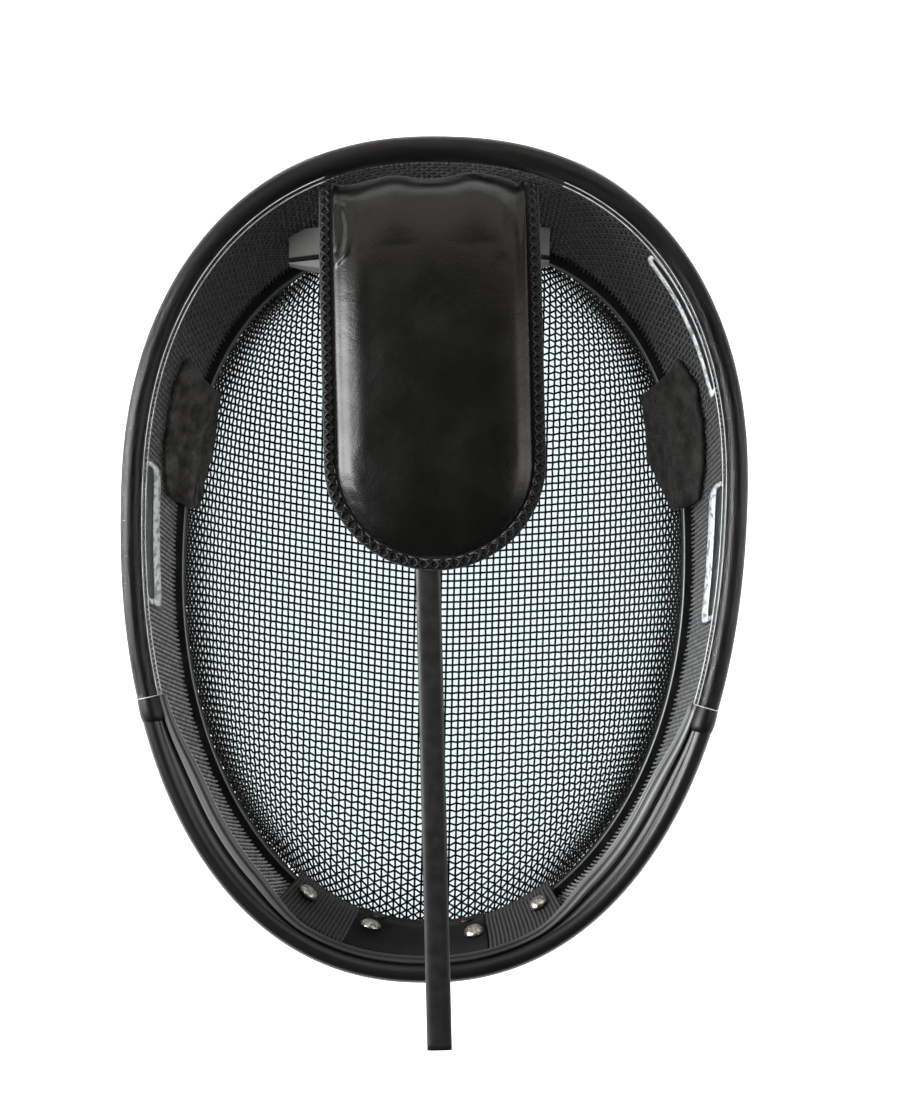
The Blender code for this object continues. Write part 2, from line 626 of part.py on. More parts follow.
def skin_piece(name, fractions, up, down, lift, thick, look):
    outer = skin(fractions, up, down, lift)
    inner = skin(fractions, up, down, lift + thick)
    sections = np.concatenate([outer, inner[:, ::-1]], axis=1)
    loft(name, sections, look, closed=False)


def make_patches(look):
    """Fuzzy patches over the seam at both temples: lengths up the wall and turns down the dome along them."""
    steps = np.linspace(0.0, 1.0, 8)
    for name, side, (low_y, high_y), up, down in PATCHES:
        low, high = fraction_at_y(SEAM, low_y * MM), fraction_at_y(SEAM, high_y * MM)
        fractions = side * (low + (high - low) * steps)
        knots = np.linspace(0.0, 1.0, len(up))
        skin_piece(name, fractions, np.interp(steps, knots, up) * MM,
                   np.radians(np.interp(steps, knots, down)), GAP, PATCH_THICK, look)


def make_labels(look):
    """Clear film labels on the side mesh, close under the roll."""
    steps = np.linspace(0.0, 1.0, 9)
    for name, side, (low_y, high_y), width in LABELS:
        low, high = fraction_at_y(SEAM, low_y * MM), fraction_at_y(SEAM, high_y * MM)
        fractions = side * (low + (high - low) * steps)
        top = between(wall_frame(loop_fractions())[3], fractions) - SLEEVE_OUTER - 1.5 * MM
        near = MESH_THICK / 2 + GAP
        far = near + LABEL_THICK
        foot = top - width * MM
        ring = [wall_point(fractions, foot, near), wall_point(fractions, top, near),
                wall_point(fractions, top, far), wall_point(fractions, foot, far)]
        loft(name, np.stack(ring, axis=1), look, closed=False)


def chin_fraction(along, perimeter):
    """Fraction of the seam at a length from the chin, positive to +X."""
    return 0.5 - along / perimeter


def make_chin(webbing_look, tab_look, bright_look, dull_look, seam_length):
    """Webbing folded over the seam either side of a smooth tab, held by riveted heads."""
    def run(first, last, steps):
        return np.linspace(chin_fraction(first, seam_length), chin_fraction(last, seam_length), steps)

    skin_piece("chin_webbing_left", run(-28 * MM, -56 * MM, 8), WEBBING_UP, math.radians(2.5), GAP,
               WEBBING_THICK, webbing_look)
    skin_piece("chin_webbing_right", run(24 * MM, 53 * MM, 8), WEBBING_UP, math.radians(2.5), GAP,
               WEBBING_THICK, webbing_look)
    skin_piece("chin_tab", run(-27.7 * MM, 23.7 * MM, 11), TAB_UP, math.radians(3.5), GAP,
               TAB_THICK, tab_look)
    for index, (along, tip) in enumerate(RIVETS):
        thick, up = (TAB_THICK, TAB_UP) if abs(along) < 24 else (WEBBING_THICK, WEBBING_UP)
        fractions = chin_fraction(along * MM, seam_length) + np.array([-1e-3, 0.0, 1e-3])
        rows = skin(fractions, up, 0.0, 2 * GAP + thick)
        rise = rows[1, 1] - rows[1, 2]
        axis = np.cross(rise, rows[2, 2] - rows[0, 2])
        axis /= np.linalg.norm(axis) * np.sign(axis[1])
        seat = rows[1, 2] + rise * 0.5 + axis * (RIVET_RADIUS * tip + 0.1 * MM)
        axis = axis - np.array([0.0, 0.0, tip])
        make_rivet("rivet_%d" % (index + 1), seat, axis / np.linalg.norm(axis), RIVET_RADIUS, bright_look)
    for index, along in enumerate(INNER_RIVETS):
        fraction = np.array([chin_fraction(along * MM, seam_length)])
        middle = (BAND_TOP + BAND_BOTTOM) / 2
        seat = seam_point(fraction, BAND_IN - TAB_THICK - GAP - RIVET_LIFT, middle)[0]
        axis = level(-outward(SEAM, fraction))[0]
        make_rivet("rivet_inner_%d" % (index + 1), seat, axis, INNER_RADIUS, dull_look)


def make_rivet(name, seat, axis, radius, look):
    """A low domed head whose flat underside lies on its seat."""
    side = np.cross(axis, [0.0, 0.0, 1.0])
    side /= np.linalg.norm(side)
    other = np.cross(axis, side)
    turn = np.arange(RIVET_SIDES) * 2 * math.pi / RIVET_SIDES
    rings = []
    for share, height in ((1.0, 0.0), (1.0, 0.35), (0.8, 0.75), (0.4, 1.0)):
        around = side * np.cos(turn)[:, None] + other * np.sin(turn)[:, None]
        rings.append(seat + around * radius * share + axis * RIVET_HEIGHT * height)
    loft(name, np.stack(rings), look, closed=False)


def build():
    clear_scene()
    wire = material("black enamelled steel wire", (0.018, 0.018, 0.02), 0.35, 0.3)
    band = material("black painted band", (0.012, 0.012, 0.013), 0.4)
    roll = material("black rubber roll", (0.015, 0.015, 0.016), 0.45)
    sleeve = material("clear PVC", (0.9, 0.92, 0.94), 0.1, 0.0, 0.35)
    edging = material("black PVC edging", (0.02, 0.02, 0.022), 0.3)
    spring = material("black sleeved spring", (0.02, 0.02, 0.021), 0.45)
    vinyl = material("black vinyl", (0.01, 0.01, 0.011), 0.22)
    laced = material("black laced binding", (0.012, 0.012, 0.013), 0.7)
    grey_foam = material("grey foam", (0.14, 0.14, 0.14), 0.9)
    pale_foam = material("pale grey foam", (0.3, 0.3, 0.3), 0.9)
    black_foam = material("black foam", (0.01, 0.01, 0.01), 0.9)
    hook = material("black hook fabric", (0.01, 0.01, 0.01), 1.0)
    film = material("clear film", (0.85, 0.85, 0.85), 0.2, 0.0, 0.6)
    webbing = material("black ribbed webbing", (0.01, 0.01, 0.01), 0.85)
    tab = material("black coated fabric", (0.012, 0.012, 0.012), 0.6)
    bright = material("plated steel", (0.6, 0.57, 0.53), 0.35, 1.0)
    dull = material("dull plated steel", (0.2, 0.16, 0.14), 0.55, 1.0)

    steps = egg_loop(RIM, np.linspace(0.0, 1.0, 2001))
    rim_length = float(np.sum(np.linalg.norm(np.diff(steps, axis=0), axis=1)))
    steps = egg_loop(SEAM, np.linspace(0.0, 1.0, 2001))
    seam_length = float(np.sum(np.linalg.norm(np.diff(steps, axis=0), axis=1)))
    sleeve_end = fraction_at_y(RIM, SLEEVE_END_Y)
    core_end = sleeve_end + CORE_END_LENGTH / rim_length

    make_face_mesh(wire)
    make_side_mesh(wire, sleeve_end, core_end)
    make_seam_band(band)
    make_upper_rim(roll, sleeve, sleeve_end, core_end, rim_length)
    make_lower_rim(edging, core_end, rim_length)
    tongue = Tongue()
    make_spring(tongue, spring)
    make_pad(tongue, vinyl)
    make_binding(tongue, laced)
    make_bumper(grey_foam, black_foam, pale_foam)
    make_patches(hook)
    make_labels(film)
    make_chin(webbing, tab, bright, dull, seam_length)


build()
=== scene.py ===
# Fencing mask: the looks. Lengths are in millimetres until they go into a mesh.
import math

import bpy
import numpy as np
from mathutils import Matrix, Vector


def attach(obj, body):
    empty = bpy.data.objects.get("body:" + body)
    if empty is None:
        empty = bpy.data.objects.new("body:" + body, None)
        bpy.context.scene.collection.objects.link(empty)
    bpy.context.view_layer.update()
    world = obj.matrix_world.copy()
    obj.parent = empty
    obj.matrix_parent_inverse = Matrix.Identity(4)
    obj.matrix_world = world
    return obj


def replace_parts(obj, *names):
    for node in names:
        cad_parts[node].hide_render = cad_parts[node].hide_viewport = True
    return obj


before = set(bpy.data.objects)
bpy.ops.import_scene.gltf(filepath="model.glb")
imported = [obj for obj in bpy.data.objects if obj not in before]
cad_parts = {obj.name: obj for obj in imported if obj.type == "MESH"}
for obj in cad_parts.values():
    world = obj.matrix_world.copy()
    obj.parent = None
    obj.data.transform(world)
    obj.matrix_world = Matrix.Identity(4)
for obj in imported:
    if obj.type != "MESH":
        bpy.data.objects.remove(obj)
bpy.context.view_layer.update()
random = np.random.default_rng(7)
print("frame loaded:", len(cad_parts), "nodes")


def hexColour(code):
    # sRGB hex to linear RGBA
    parts = [int(code[i:i + 2], 16) / 255 for i in (1, 3, 5)]
    return tuple(p / 12.92 if p <= 0.04045 else ((p + 0.055) / 1.055) ** 2.4 for p in parts) + (1.0,)


def plainValue(value):
    return hexColour(value) if isinstance(value, str) else value


def outlet(source):
    # a node stands for its first output
    return source.outputs[0] if isinstance(source, bpy.types.Node) else source


def addNode(tree, kind, settings=None, links=None, **facts):
    node = tree.nodes.new("ShaderNode" + kind)
    for name, value in facts.items():
        setattr(node, name, value)
    for name, value in (settings or {}).items():
        node.inputs[name].default_value = plainValue(value)
    for name, source in (links or {}).items():
        tree.links.new(outlet(source), node.inputs[name])
    return node


def startMaterial(name, colour, roughness, **sockets):
    # a finish with its constant values, its nodes and its texture coordinates
    finish = bpy.data.materials.new(name)
    finish.use_nodes = True
    tree = finish.node_tree
    for socket, value in {"Base_Color": colour, "Roughness": roughness, **sockets}.items():
        tree.nodes["Principled BSDF"].inputs[socket.replace("_", " ")].default_value = plainValue(value)
    return finish, tree, addNode(tree, "TexCoord").outputs


def endMaterial(finish, **sources):
    # the finish, once its patterns are led to its sockets
    tree = finish.node_tree
    for socket, source in sources.items():
        tree.links.new(outlet(source), tree.nodes["Principled BSDF"].inputs[socket.replace("_", " ")])
    return finish


def unit(v):
    return v / np.linalg.norm(v, axis=-1, keepdims=True)


def addUp(steps):
    # the running total, from nought
    return np.concatenate([[0], np.cumsum(steps)])


def lengthAlong(line):
    return addUp(np.linalg.norm(np.diff(line, axis=0), axis=1))


def gridPairs(along, around):
    # a UV pair for each point of a grid
    return np.stack(np.broadcast_arrays(np.asarray(along)[:, None], np.asarray(around)[None, :]), axis=-1)


def gridQuads(rows, cols, ringRows=False, ringCols=False):
    # four corners of each cell of a rows by cols grid of points
    r = np.arange(rows if ringRows else rows - 1)[:, None]
    c = np.arange(cols if ringCols else cols - 1)[None, :]
    below, beside = (r + 1) % rows, (c + 1) % cols
    quads = [r * cols + c, r * cols + beside, below * cols + beside, below * cols + c]
    return np.stack(np.broadcast_arrays(*quads), axis=-1).reshape(-1, 4)


def addPiece(name, points, faces, finish, uv=None):
    # faces is a list of (count, sides) index arrays; points are put in as metres, facing outwards
    points = np.asarray(points, dtype=float).reshape(-1, 3)
    volume = 0.0
    for block in faces:
        corner = points[block]
        for i in range(1, block.shape[1] - 1):
            volume += np.einsum("ij,ij->i", corner[:, 0], np.cross(corner[:, i], corner[:, i + 1])).sum()
    if volume < 0:
        faces = [block[:, ::-1] for block in faces]
    corners = np.concatenate([block.reshape(-1) for block in faces])
    counts = np.concatenate([np.full(len(block), block.shape[1]) for block in faces])
    mesh = bpy.data.meshes.new(name)
    mesh.vertices.add(len(points))
    mesh.vertices.foreach_set("co", (points * 0.001).reshape(-1))
    mesh.loops.add(len(corners))
    mesh.loops.foreach_set("vertex_index", corners)
    mesh.polygons.add(len(counts))
    mesh.polygons.foreach_set("loop_start", np.concatenate([[0], np.cumsum(counts)[:-1]]))
    mesh.polygons.foreach_set("use_smooth", np.ones(len(counts), dtype=bool))
    mesh.update(calc_edges=True)
    if uv is not None:
        layer = mesh.uv_layers.new(name="UVMap")
        layer.data.foreach_set("uv", np.asarray(uv, dtype=float).reshape(-1, 2)[corners].reshape(-1))
    mesh.materials.append(finish)
    piece = bpy.data.objects.new(name, mesh)
    bpy.context.collection.objects.link(piece)
    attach(piece, "root")
    return piece


def addLoft(name, rings, finish, closed=False, length=None, around=None):
    # a solid through equal rings of points; length and around give its UV in millimetres
    count, sides = rings.shape[:2]
    faces = [gridQuads(count, sides, closed, True)]
    if not closed:
        faces.append(np.arange(sides)[None, ::-1])
        faces.append(np.arange(sides)[None, :] + (count - 1) * sides)
    length = lengthAlong(rings.mean(axis=1)) if length is None else length
    around = np.arange(sides) / sides if around is None else around
    return addPiece(name, rings, faces, finish, gridPairs(length, around))


def addPipe(name, outer, inner, finish, slot):
    # a wall between two open lofts
    count, sides = outer.shape[:2]
    quads = gridQuads(count, sides, False, True)
    shift = count * sides
    a = np.arange(sides)
    b = (a + 1) % sides
    last = (count - 1) * sides
    near = np.stack([a, shift + a, shift + b, b], axis=1)
    far = np.stack([last + a, last + b, shift + last + b, shift + last + a], axis=1)
    faces = [quads, quads[:, ::-1] + shift, near, far]
    uv = gridPairs(lengthAlong(outer.mean(axis=1)), a / sides)
    return addPiece(name, np.stack([outer, inner]), faces, finish, np.stack([uv, uv]))


def carryTube(path, radius, sides, across):
    # round section carried along a path: centre + side·cos + other·sin, side kept square to the run
    run = unit(np.gradient(path, axis=0))
    side = unit(across - run * np.sum(across * run, axis=-1, keepdims=True))
    other = np.cross(run, side)
    turn = np.arange(sides) * 2 * math.pi / sides
    ring = side[:, None] * np.cos(turn)[None, :, None] + other[:, None] * np.sin(turn)[None, :, None]
    return path[:, None] + ring * np.broadcast_to(radius, (len(path),))[:, None, None]


def addBundle(name, tubes, finish):
    # many capped tubes with the same number of sides, in one mesh
    points, quads, caps, uv, base = [], [], [], [], 0
    for rings in tubes:
        count, sides = rings.shape[:2]
        points.append(rings.reshape(-1, 3))
        quads.append(gridQuads(count, sides, False, True) + base)
        caps.append(np.stack([np.arange(sides)[::-1] + base, np.arange(sides) + base + (count - 1) * sides]))
        uv.append(gridPairs(lengthAlong(rings.mean(axis=1)), np.arange(sides) / sides).reshape(-1, 2))
        base += count * sides
    return addPiece(name, np.concatenate(points), [np.concatenate(quads), np.concatenate(caps)], finish,
                    np.concatenate(uv))


# the cage's own lines, which all pieces follow: the seam, the rim, the band between them and the dome
cage = {
    "seamHalfWidth": 97.2, "seamCrown": 126.1, "seamChin": 140.9,
    "seamPowers": (2.46, 2.04), "seamCentreY": 7.0,
    "rimHalfWidth": 110.8, "rimCrown": 128.4, "rimChin": 173.7,
    "rimPowers": (2.27, 2.21), "rimCentreY": 31.3, "rimLean": 0.7,
    "rimHeight": 119.5, "rimLevelY": 10.0, "rimSlope": 0.053,
    "bandBottom": 79.5, "bandTop": 86.0, "bandIn": -1.5,
    "wallFoot": 2.1, "poleZ": 1.0, "domePower": 2.35, "gap": 0.3, "skirtFrom": 0.9985, "skirtSlope": 2000.0,
    "leanWithin": 0.985, "underBand": 0.2, "sleeveEndY": -42.0, "bareEnd": 11.0,
    "eggPoints": 2881, "halfPoints": 2001,
}


def makeEgg(halfWidth, crown, chin, powers, centreY, lean=0.0):
    # plane superellipse, one power above its centre and one below, sampled by length from the crown
    angle = np.linspace(math.pi / 2, -math.pi / 2, cage["eggPoints"])
    power = np.where(angle >= 0, powers[0], powers[1])
    height = np.where(angle >= 0, crown, chin)
    wide, tall = np.abs(np.cos(angle) / halfWidth), np.abs(np.sin(angle) / height)
    radius = (wide ** power + tall ** power) ** (-1 / power)
    x, y = radius * np.cos(angle), radius * np.sin(angle)
    length = addUp(np.hypot(np.diff(x), np.diff(y)))
    return {"x": x, "y": y, "length": length, "around": 2 * length[-1],
            "centreY": centreY, "lean": math.tan(math.radians(lean))}


def eggPoint(egg, share):
    # share 0 is the crown, 0.25 the +X side, 0.5 the chin
    turn = np.mod(share, 1.0)
    place = (1 - np.abs(1 - 2 * turn)) * egg["length"][-1]
    x = np.where(turn <= 0.5, 1, -1) * np.interp(place, egg["length"], egg["x"])
    y = np.interp(place, egg["length"], egg["y"])
    return np.stack([x + egg["lean"] * y, egg["centreY"] + y], axis=-1)


def eggOut(egg, share):
    run = unit(eggPoint(egg, share + 1e-3) - eggPoint(egg, share - 1e-3))
    return np.stack([-run[..., 1], run[..., 0], np.zeros(np.shape(share))], axis=-1)


eggSizes = ("HalfWidth", "Crown", "Chin", "Powers", "CentreY")
seam = makeEgg(*[cage["seam" + size] for size in eggSizes])
rim = makeEgg(*[cage["rim" + size] for size in eggSizes], cage["rimLean"])
upward = np.array([0.0, 0.0, 1.0])


def shareAtY(egg, y):
    halves = np.linspace(0, 0.5, cage["halfPoints"])
    return float(np.interp(-y, -eggPoint(egg, halves)[:, 1], halves))


def rimPoint(share):
    flat = eggPoint(rim, share)
    z = cage["rimHeight"] + cage["rimSlope"] * (flat[..., 1] - cage["rimLevelY"])
    return np.concatenate([flat, z[..., None]], axis=-1)


def seamPoint(share, out, z):
    flat = eggPoint(seam, share)
    flat = np.concatenate([flat, np.zeros_like(flat[..., :1])], axis=-1)
    return flat + eggOut(seam, share) * np.asarray(out)[..., None] + upward * np.asarray(z)[..., None]


def wallFrame(share):
    # foot on the band, unit vectors up the wall and into the mask, and the wall's height to the rim line
    foot = seamPoint(share, cage["wallFoot"], cage["bandTop"] + cage["gap"])
    reach = rimPoint(share) - foot
    up = unit(reach)
    out = eggOut(seam, share)
    inwards = unit(np.cross(np.cross(out, upward), up))
    inwards = inwards * -np.sign(np.sum(inwards * out, axis=-1, keepdims=True))
    return foot, up, inwards, np.linalg.norm(reach, axis=-1)


def wallPoint(share, height, lift):
    foot, up, inwards, _ = wallFrame(share)
    return foot + up * np.asarray(height)[..., None] + inwards * np.asarray(lift)[..., None]


def domeShare(x, y):
    # 0 at the dome's pole and 1 at the seam, from the superellipse's own formula
    along = y - cage["seamCentreY"]
    power = np.where(along >= 0, cage["seamPowers"][0], cage["seamPowers"][1])
    height = np.where(along >= 0, cage["seamCrown"], cage["seamChin"]) - cage["underBand"]
    wide = np.abs(x / (cage["seamHalfWidth"] - cage["underBand"]))
    return (wide ** power + np.abs(along / height) ** power) ** (1 / power)


def domeHeight(x, y):
    # superellipse dome: z rises from the pole to the band's underside, where the wires stand upright;
    # beyond the band it goes on as a steep skirt, so that lines can be followed past its edge
    depth = cage["bandBottom"] - cage["gap"] - cage["poleZ"]
    share = domeShare(x, y)
    within = np.minimum(share, cage["skirtFrom"])
    height = cage["poleZ"] + depth * (1 - (1 - within ** cage["domePower"]) ** (1 / cage["domePower"]))
    return height + cage["skirtSlope"] * np.maximum(share - cage["skirtFrom"], 0)


def domeSlopes(x, y):
    # how far the dome rises for each millimetre along X and along Y
    e = 0.02
    alongX = (domeHeight(x + e, y) - domeHeight(x - e, y)) / (2 * e)
    alongY = (domeHeight(x, y + e) - domeHeight(x, y - e)) / (2 * e)
    return alongX, alongY


def domeNormal(x, y):
    # into the mask, from the slopes; near the steep edge, from the slopes a little inside it
    centre = cage["seamCentreY"]
    pull = np.minimum(1.0, cage["leanWithin"] / np.maximum(domeShare(x, y), 1e-6))
    slopeX, slopeY = domeSlopes(x * pull, centre + (y - centre) * pull)
    return unit(np.stack([-slopeX, -slopeY, np.ones_like(slopeX)], axis=-1))


sleeveEnd = shareAtY(rim, cage["sleeveEndY"])                # the clear sleeve stops here
rollEnd = sleeveEnd + cage["bareEnd"] / rim["around"]        # the bare swollen end of the roll


def evenShares(first, last, step):
    return np.linspace(first, last, int(abs(last - first) * rim["around"] / step) + 1)


def unevenGloss(tree, where, patches, smooth, dull):
    # the roughness drifts from smooth to dull over soft patches, this many to the metre
    cloud = addNode(tree, "TexNoise", {"Scale": patches, "Detail": 3.0}, {"Vector": where["Object"]})
    limits = {"From Min": 0.3, "From Max": 0.7, "To Min": smooth, "To Max": dull}
    return cloud, addNode(tree, "MapRange", limits, {"Value": cloud})


def mottle(tree, where, cloud, limits, dark, light):
    # two tones in patches: a cloud of noise, spread out between two limits
    patches = addNode(tree, "TexNoise", cloud, {"Vector": where["Object"]})
    spread = addNode(tree, "MapRange", {"From Min": limits[0], "From Max": limits[1]}, {"Value": patches})
    tone = addNode(tree, "Mix", {6: dark, 7: light}, {0: spread}, data_type="RGBA")
    return patches, tone.outputs[2]


def drawnMarks(tree, where, stretch, detail, depth):
    # marks drawn out along the piece, from its UV in millimetres, and their relief in metres
    drawn = addNode(tree, "Mapping", {"Scale": stretch}, {"Vector": where["UV"]})
    marks = addNode(tree, "TexNoise", {"Scale": 1.0, "Detail": detail}, {"Vector": drawn})
    return marks, addNode(tree, "Bump", {"Distance": depth}, {"Height": marks})


def wireEnamel(name, dark, light, shine):
    # baked enamel on steel wire: near black, soft sheen, greyer where it has pooled, in patches of 2 mm
    finish, tree, where = startMaterial(name, dark, 0.4, Specular_IOR_Level=shine)
    pools, gloss = unevenGloss(tree, where, 450.0, 0.26, 0.5)
    tone = addNode(tree, "Mix", {6: dark, 7: light}, {0: pools}, data_type="RGBA")
    return endMaterial(finish, Roughness=gloss, Base_Color=tone.outputs[2])


def paintedLightEnamel(name, shadedCrownTone, litSideTone):
    # the black enamel in painted light: a darker tone at the crown and a paler one from the temples to the
    # chin, palest on the left, for how the light falls on the wall; mottled in patches about 2 mm across
    finish, tree, where = startMaterial(name, litSideTone, 0.4, Specular_IOR_Level=0.5)
    parts = addNode(tree, "SeparateXYZ", links={"Vector": where["Object"]})
    # painted light: paler below the temples and towards the left
    low = addNode(tree, "MapRange", {"From Min": 0.10, "From Max": 0.02}, {"Value": parts.outputs["Y"]})
    paintedLeftLight = addNode(tree, "MapRange", {"From Min": -0.08, "From Max": 0.08, "To Min": 1.0, "To Max": 0.35},
                     {"Value": parts.outputs["X"]})
    paintedLightLevel = addNode(tree, "Math", links={0: low, 1: paintedLeftLight}, operation="MULTIPLY")
    patches = addNode(tree, "TexNoise", {"Scale": 450.0, "Detail": 3.0}, {"Vector": where["Object"]})
    tone = addNode(tree, "Mix", {6: shadedCrownTone, 7: litSideTone}, {0: paintedLightLevel}, data_type="RGBA")
    mottled = addNode(tree, "Mix", {6: "#1c1d1e"}, {0: patches, 7: tone.outputs[2]}, data_type="RGBA")
    return endMaterial(finish, Base_Color=mottled.outputs[2])


def paintedBand():
    # stove-painted steel strip: satin black, with a thin grey line painted along its inner edge at the sides
    # as a highlight
    finish, tree, where = startMaterial("painted steel band", "#0d0d0e", 0.34)
    gloss = unevenGloss(tree, where, 160.0, 0.28, 0.46)[1]
    # painted highlight: a light grey line along the inner edge, fading away from the sides
    parts = addNode(tree, "SeparateXYZ", links={"Vector": where["UV"]})
    edge = addNode(tree, "MapRange", {"From Min": 0.62, "From Max": 0.32}, {"Value": parts.outputs["Y"]})
    spot = addNode(tree, "SeparateXYZ", links={"Vector": where["Object"]})
    far = addNode(tree, "Math", links={0: spot.outputs["Y"]}, operation="ABSOLUTE")
    highlightShare = addNode(tree, "MapRange", {"From Min": 0.06, "From Max": 0.11, "To Min": 1.0, "To Max": 0.25},
                   {"Value": far})
    paintedEdgeHighlight = addNode(tree, "Math", links={0: edge, 1: highlightShare}, operation="MULTIPLY")
    tone = addNode(tree, "Mix", {6: "#0a0a0b", 7: "#8f9396"}, {0: paintedEdgeHighlight}, data_type="RGBA")
    return endMaterial(finish, Roughness=gloss, Base_Color=tone.outputs[2])


def rollRubber():
    # extruded rubber roll: satin black, with soft lengthwise bands where it has rubbed
    finish, tree, where = startMaterial("extruded rubber", "#0a0a0a", 0.4, Specular_IOR_Level=0.32)
    marks, bump = drawnMarks(tree, where, (0.02, 26.0, 1.0), 2.0, 0.00003)
    gloss = addNode(tree, "MapRange", {"To Min": 0.32, "To Max": 0.5}, {"Value": marks})
    return endMaterial(finish, Roughness=gloss, Normal=bump)


def clearTube():
    # clear soft PVC, thin and colourless: hardly there but for its gloss, faintly drawn out along its length
    finish, tree, where = startMaterial("clear soft PVC", "#ffffff", 0.02, Transmission_Weight=1.0, IOR=1.02)
    return endMaterial(finish, Normal=drawnMarks(tree, where, (0.02, 14.0, 1.0), 2.0, 0.00004)[1])


def sleeveLip(name, dark, light):
    # the slit sleeve's cut lips and its outer edge: thin lines painted white for the lips' highlights and
    # grey for the edge's shade, broken every few millimetres
    finish, tree, where = startMaterial(name, light, 0.35)
    tone = mottle(tree, where, {"Scale": 260.0, "Detail": 4.0}, (0.35, 0.6), dark, light)[1]
    return endMaterial(finish, Base_Color=tone)


def edgingPVC():
    # black extruded PVC profile: grey painted highlights along its ridges and flange, with fine lines drawn
    # along it
    finish, tree, where = startMaterial("extruded PVC edging", "#121314", 0.32)
    parts = addNode(tree, "SeparateXYZ", links={"Vector": where["UV"]})
    bloom = addNode(tree, "ValToRGB", links={"Fac": parts.outputs["Y"]})
    stops = bloom.color_ramp.elements
    stops[0].position, stops[0].color = 0.0, hexColour("#0c0c0d")
    stops[1].position, stops[1].color = 1.0, hexColour("#0c0c0d")
    for place, tone in edging["bloom"]:
        stops.new(place).color = hexColour(tone)
    marks, bump = drawnMarks(tree, where, (0.01, 90.0, 1.0), 3.0, 0.00006)
    lines = addNode(tree, "MapRange", {"From Min": 0.35, "From Max": 0.65, "To Max": 0.75}, {"Value": marks})
    lined = addNode(tree, "Mix", {7: "#0e0f10"}, {0: lines, 6: bloom}, data_type="RGBA")
    # round the chin the painted highlights fade to black: UV runs in millimetres along it, the chin at half
    # the rim's length
    fromChin = addNode(tree, "Math", {1: rim["around"] / 2}, {0: parts.outputs["X"]}, operation="SUBTRACT")
    either = addNode(tree, "Math", links={0: fromChin}, operation="ABSOLUTE")
    highlightShare = addNode(tree, "MapRange", {"From Min": 35.0, "From Max": 95.0, "To Min": 0.12}, {"Value": either})
    tone = addNode(tree, "Mix", {6: "#0e0f10"}, {0: highlightShare, 7: lined.outputs[2]}, data_type="RGBA")
    return endMaterial(finish, Base_Color=tone.outputs[2], Normal=bump)


def springSleeve():
    # heat-shrunk sleeve over spring steel: smooth black, satin, with soft uneven gloss and faint ripples
    finish, tree, where = startMaterial("shrink sleeve", "#151516", 0.42)
    cloud, gloss = unevenGloss(tree, where, 220.0, 0.36, 0.5)
    bump = addNode(tree, "Bump", {"Distance": 0.00008, "Strength": 0.5}, {"Height": cloud})
    return endMaterial(finish, Roughness=gloss, Normal=bump)


def padVinyl():
    # coated upholstery cloth: glossy black film with fine pebble grain about 0.6 mm and slow uneven gloss
    finish, tree, where = startMaterial("vinyl coated cloth", "#070706", 0.32, Specular_IOR_Level=0.42)
    grain = addNode(tree, "TexVoronoi", {"Scale": 1600.0}, {"Vector": where["Object"]})
    crease = addNode(tree, "TexNoise", {"Scale": 140.0, "Detail": 3.0, "Distortion": 0.6},
                     {"Vector": where["Object"]})
    low = addNode(tree, "Bump", {"Distance": 0.0004, "Strength": 0.35}, {"Height": crease})
    fine = addNode(tree, "Bump", {"Distance": 0.00004, "Strength": 0.5}, {"Height": grain, "Normal": low})
    gloss = unevenGloss(tree, where, 60.0, 0.28, 0.38)[1]
    return endMaterial(finish, Roughness=gloss, Normal=fine)


def plainCloth(name, colour, threads, roughness):
    # close plain weave or twisted cord: this many threads to the metre, matte with a slight sheen
    finish, tree, where = startMaterial(name, colour, roughness, Sheen_Weight=0.02, Specular_IOR_Level=0.3)
    cloud = addNode(tree, "TexNoise", {"Scale": threads, "Detail": 2.0}, {"Vector": where["Object"]})
    bump = addNode(tree, "Bump", {"Distance": 0.00012, "Strength": 0.6}, {"Height": cloud})
    return endMaterial(finish, Normal=bump)


def foam(name, dark, light, cell):
    # cut closed-cell foam: matte, a fine face with cells about this wide in mm, and a few pale specks
    finish, tree, where = startMaterial(name, dark, 0.9)
    cells = addNode(tree, "TexVoronoi", {"Scale": 1000 / cell}, {"Vector": where["Object"]})
    bump = addNode(tree, "Bump", {"Distance": 0.00015, "Strength": 0.5}, {"Height": cells})
    cloud = addNode(tree, "TexNoise", {"Scale": 300.0, "Detail": 4.0}, {"Vector": where["Object"]})
    tone = addNode(tree, "Mix", {6: dark, 7: light}, {0: cloud}, data_type="RGBA")
    crumbs = addNode(tree, "TexNoise", {"Scale": 620.0}, {"Vector": where["Object"]})
    few = addNode(tree, "MapRange", {"From Min": 0.74, "From Max": 0.78}, {"Value": crumbs})
    specks = addNode(tree, "Mix", {7: "#e4e4e2"}, {0: few, 6: tone.outputs[2]}, data_type="RGBA")
    return endMaterial(finish, Base_Color=specks.outputs[2], Normal=bump)


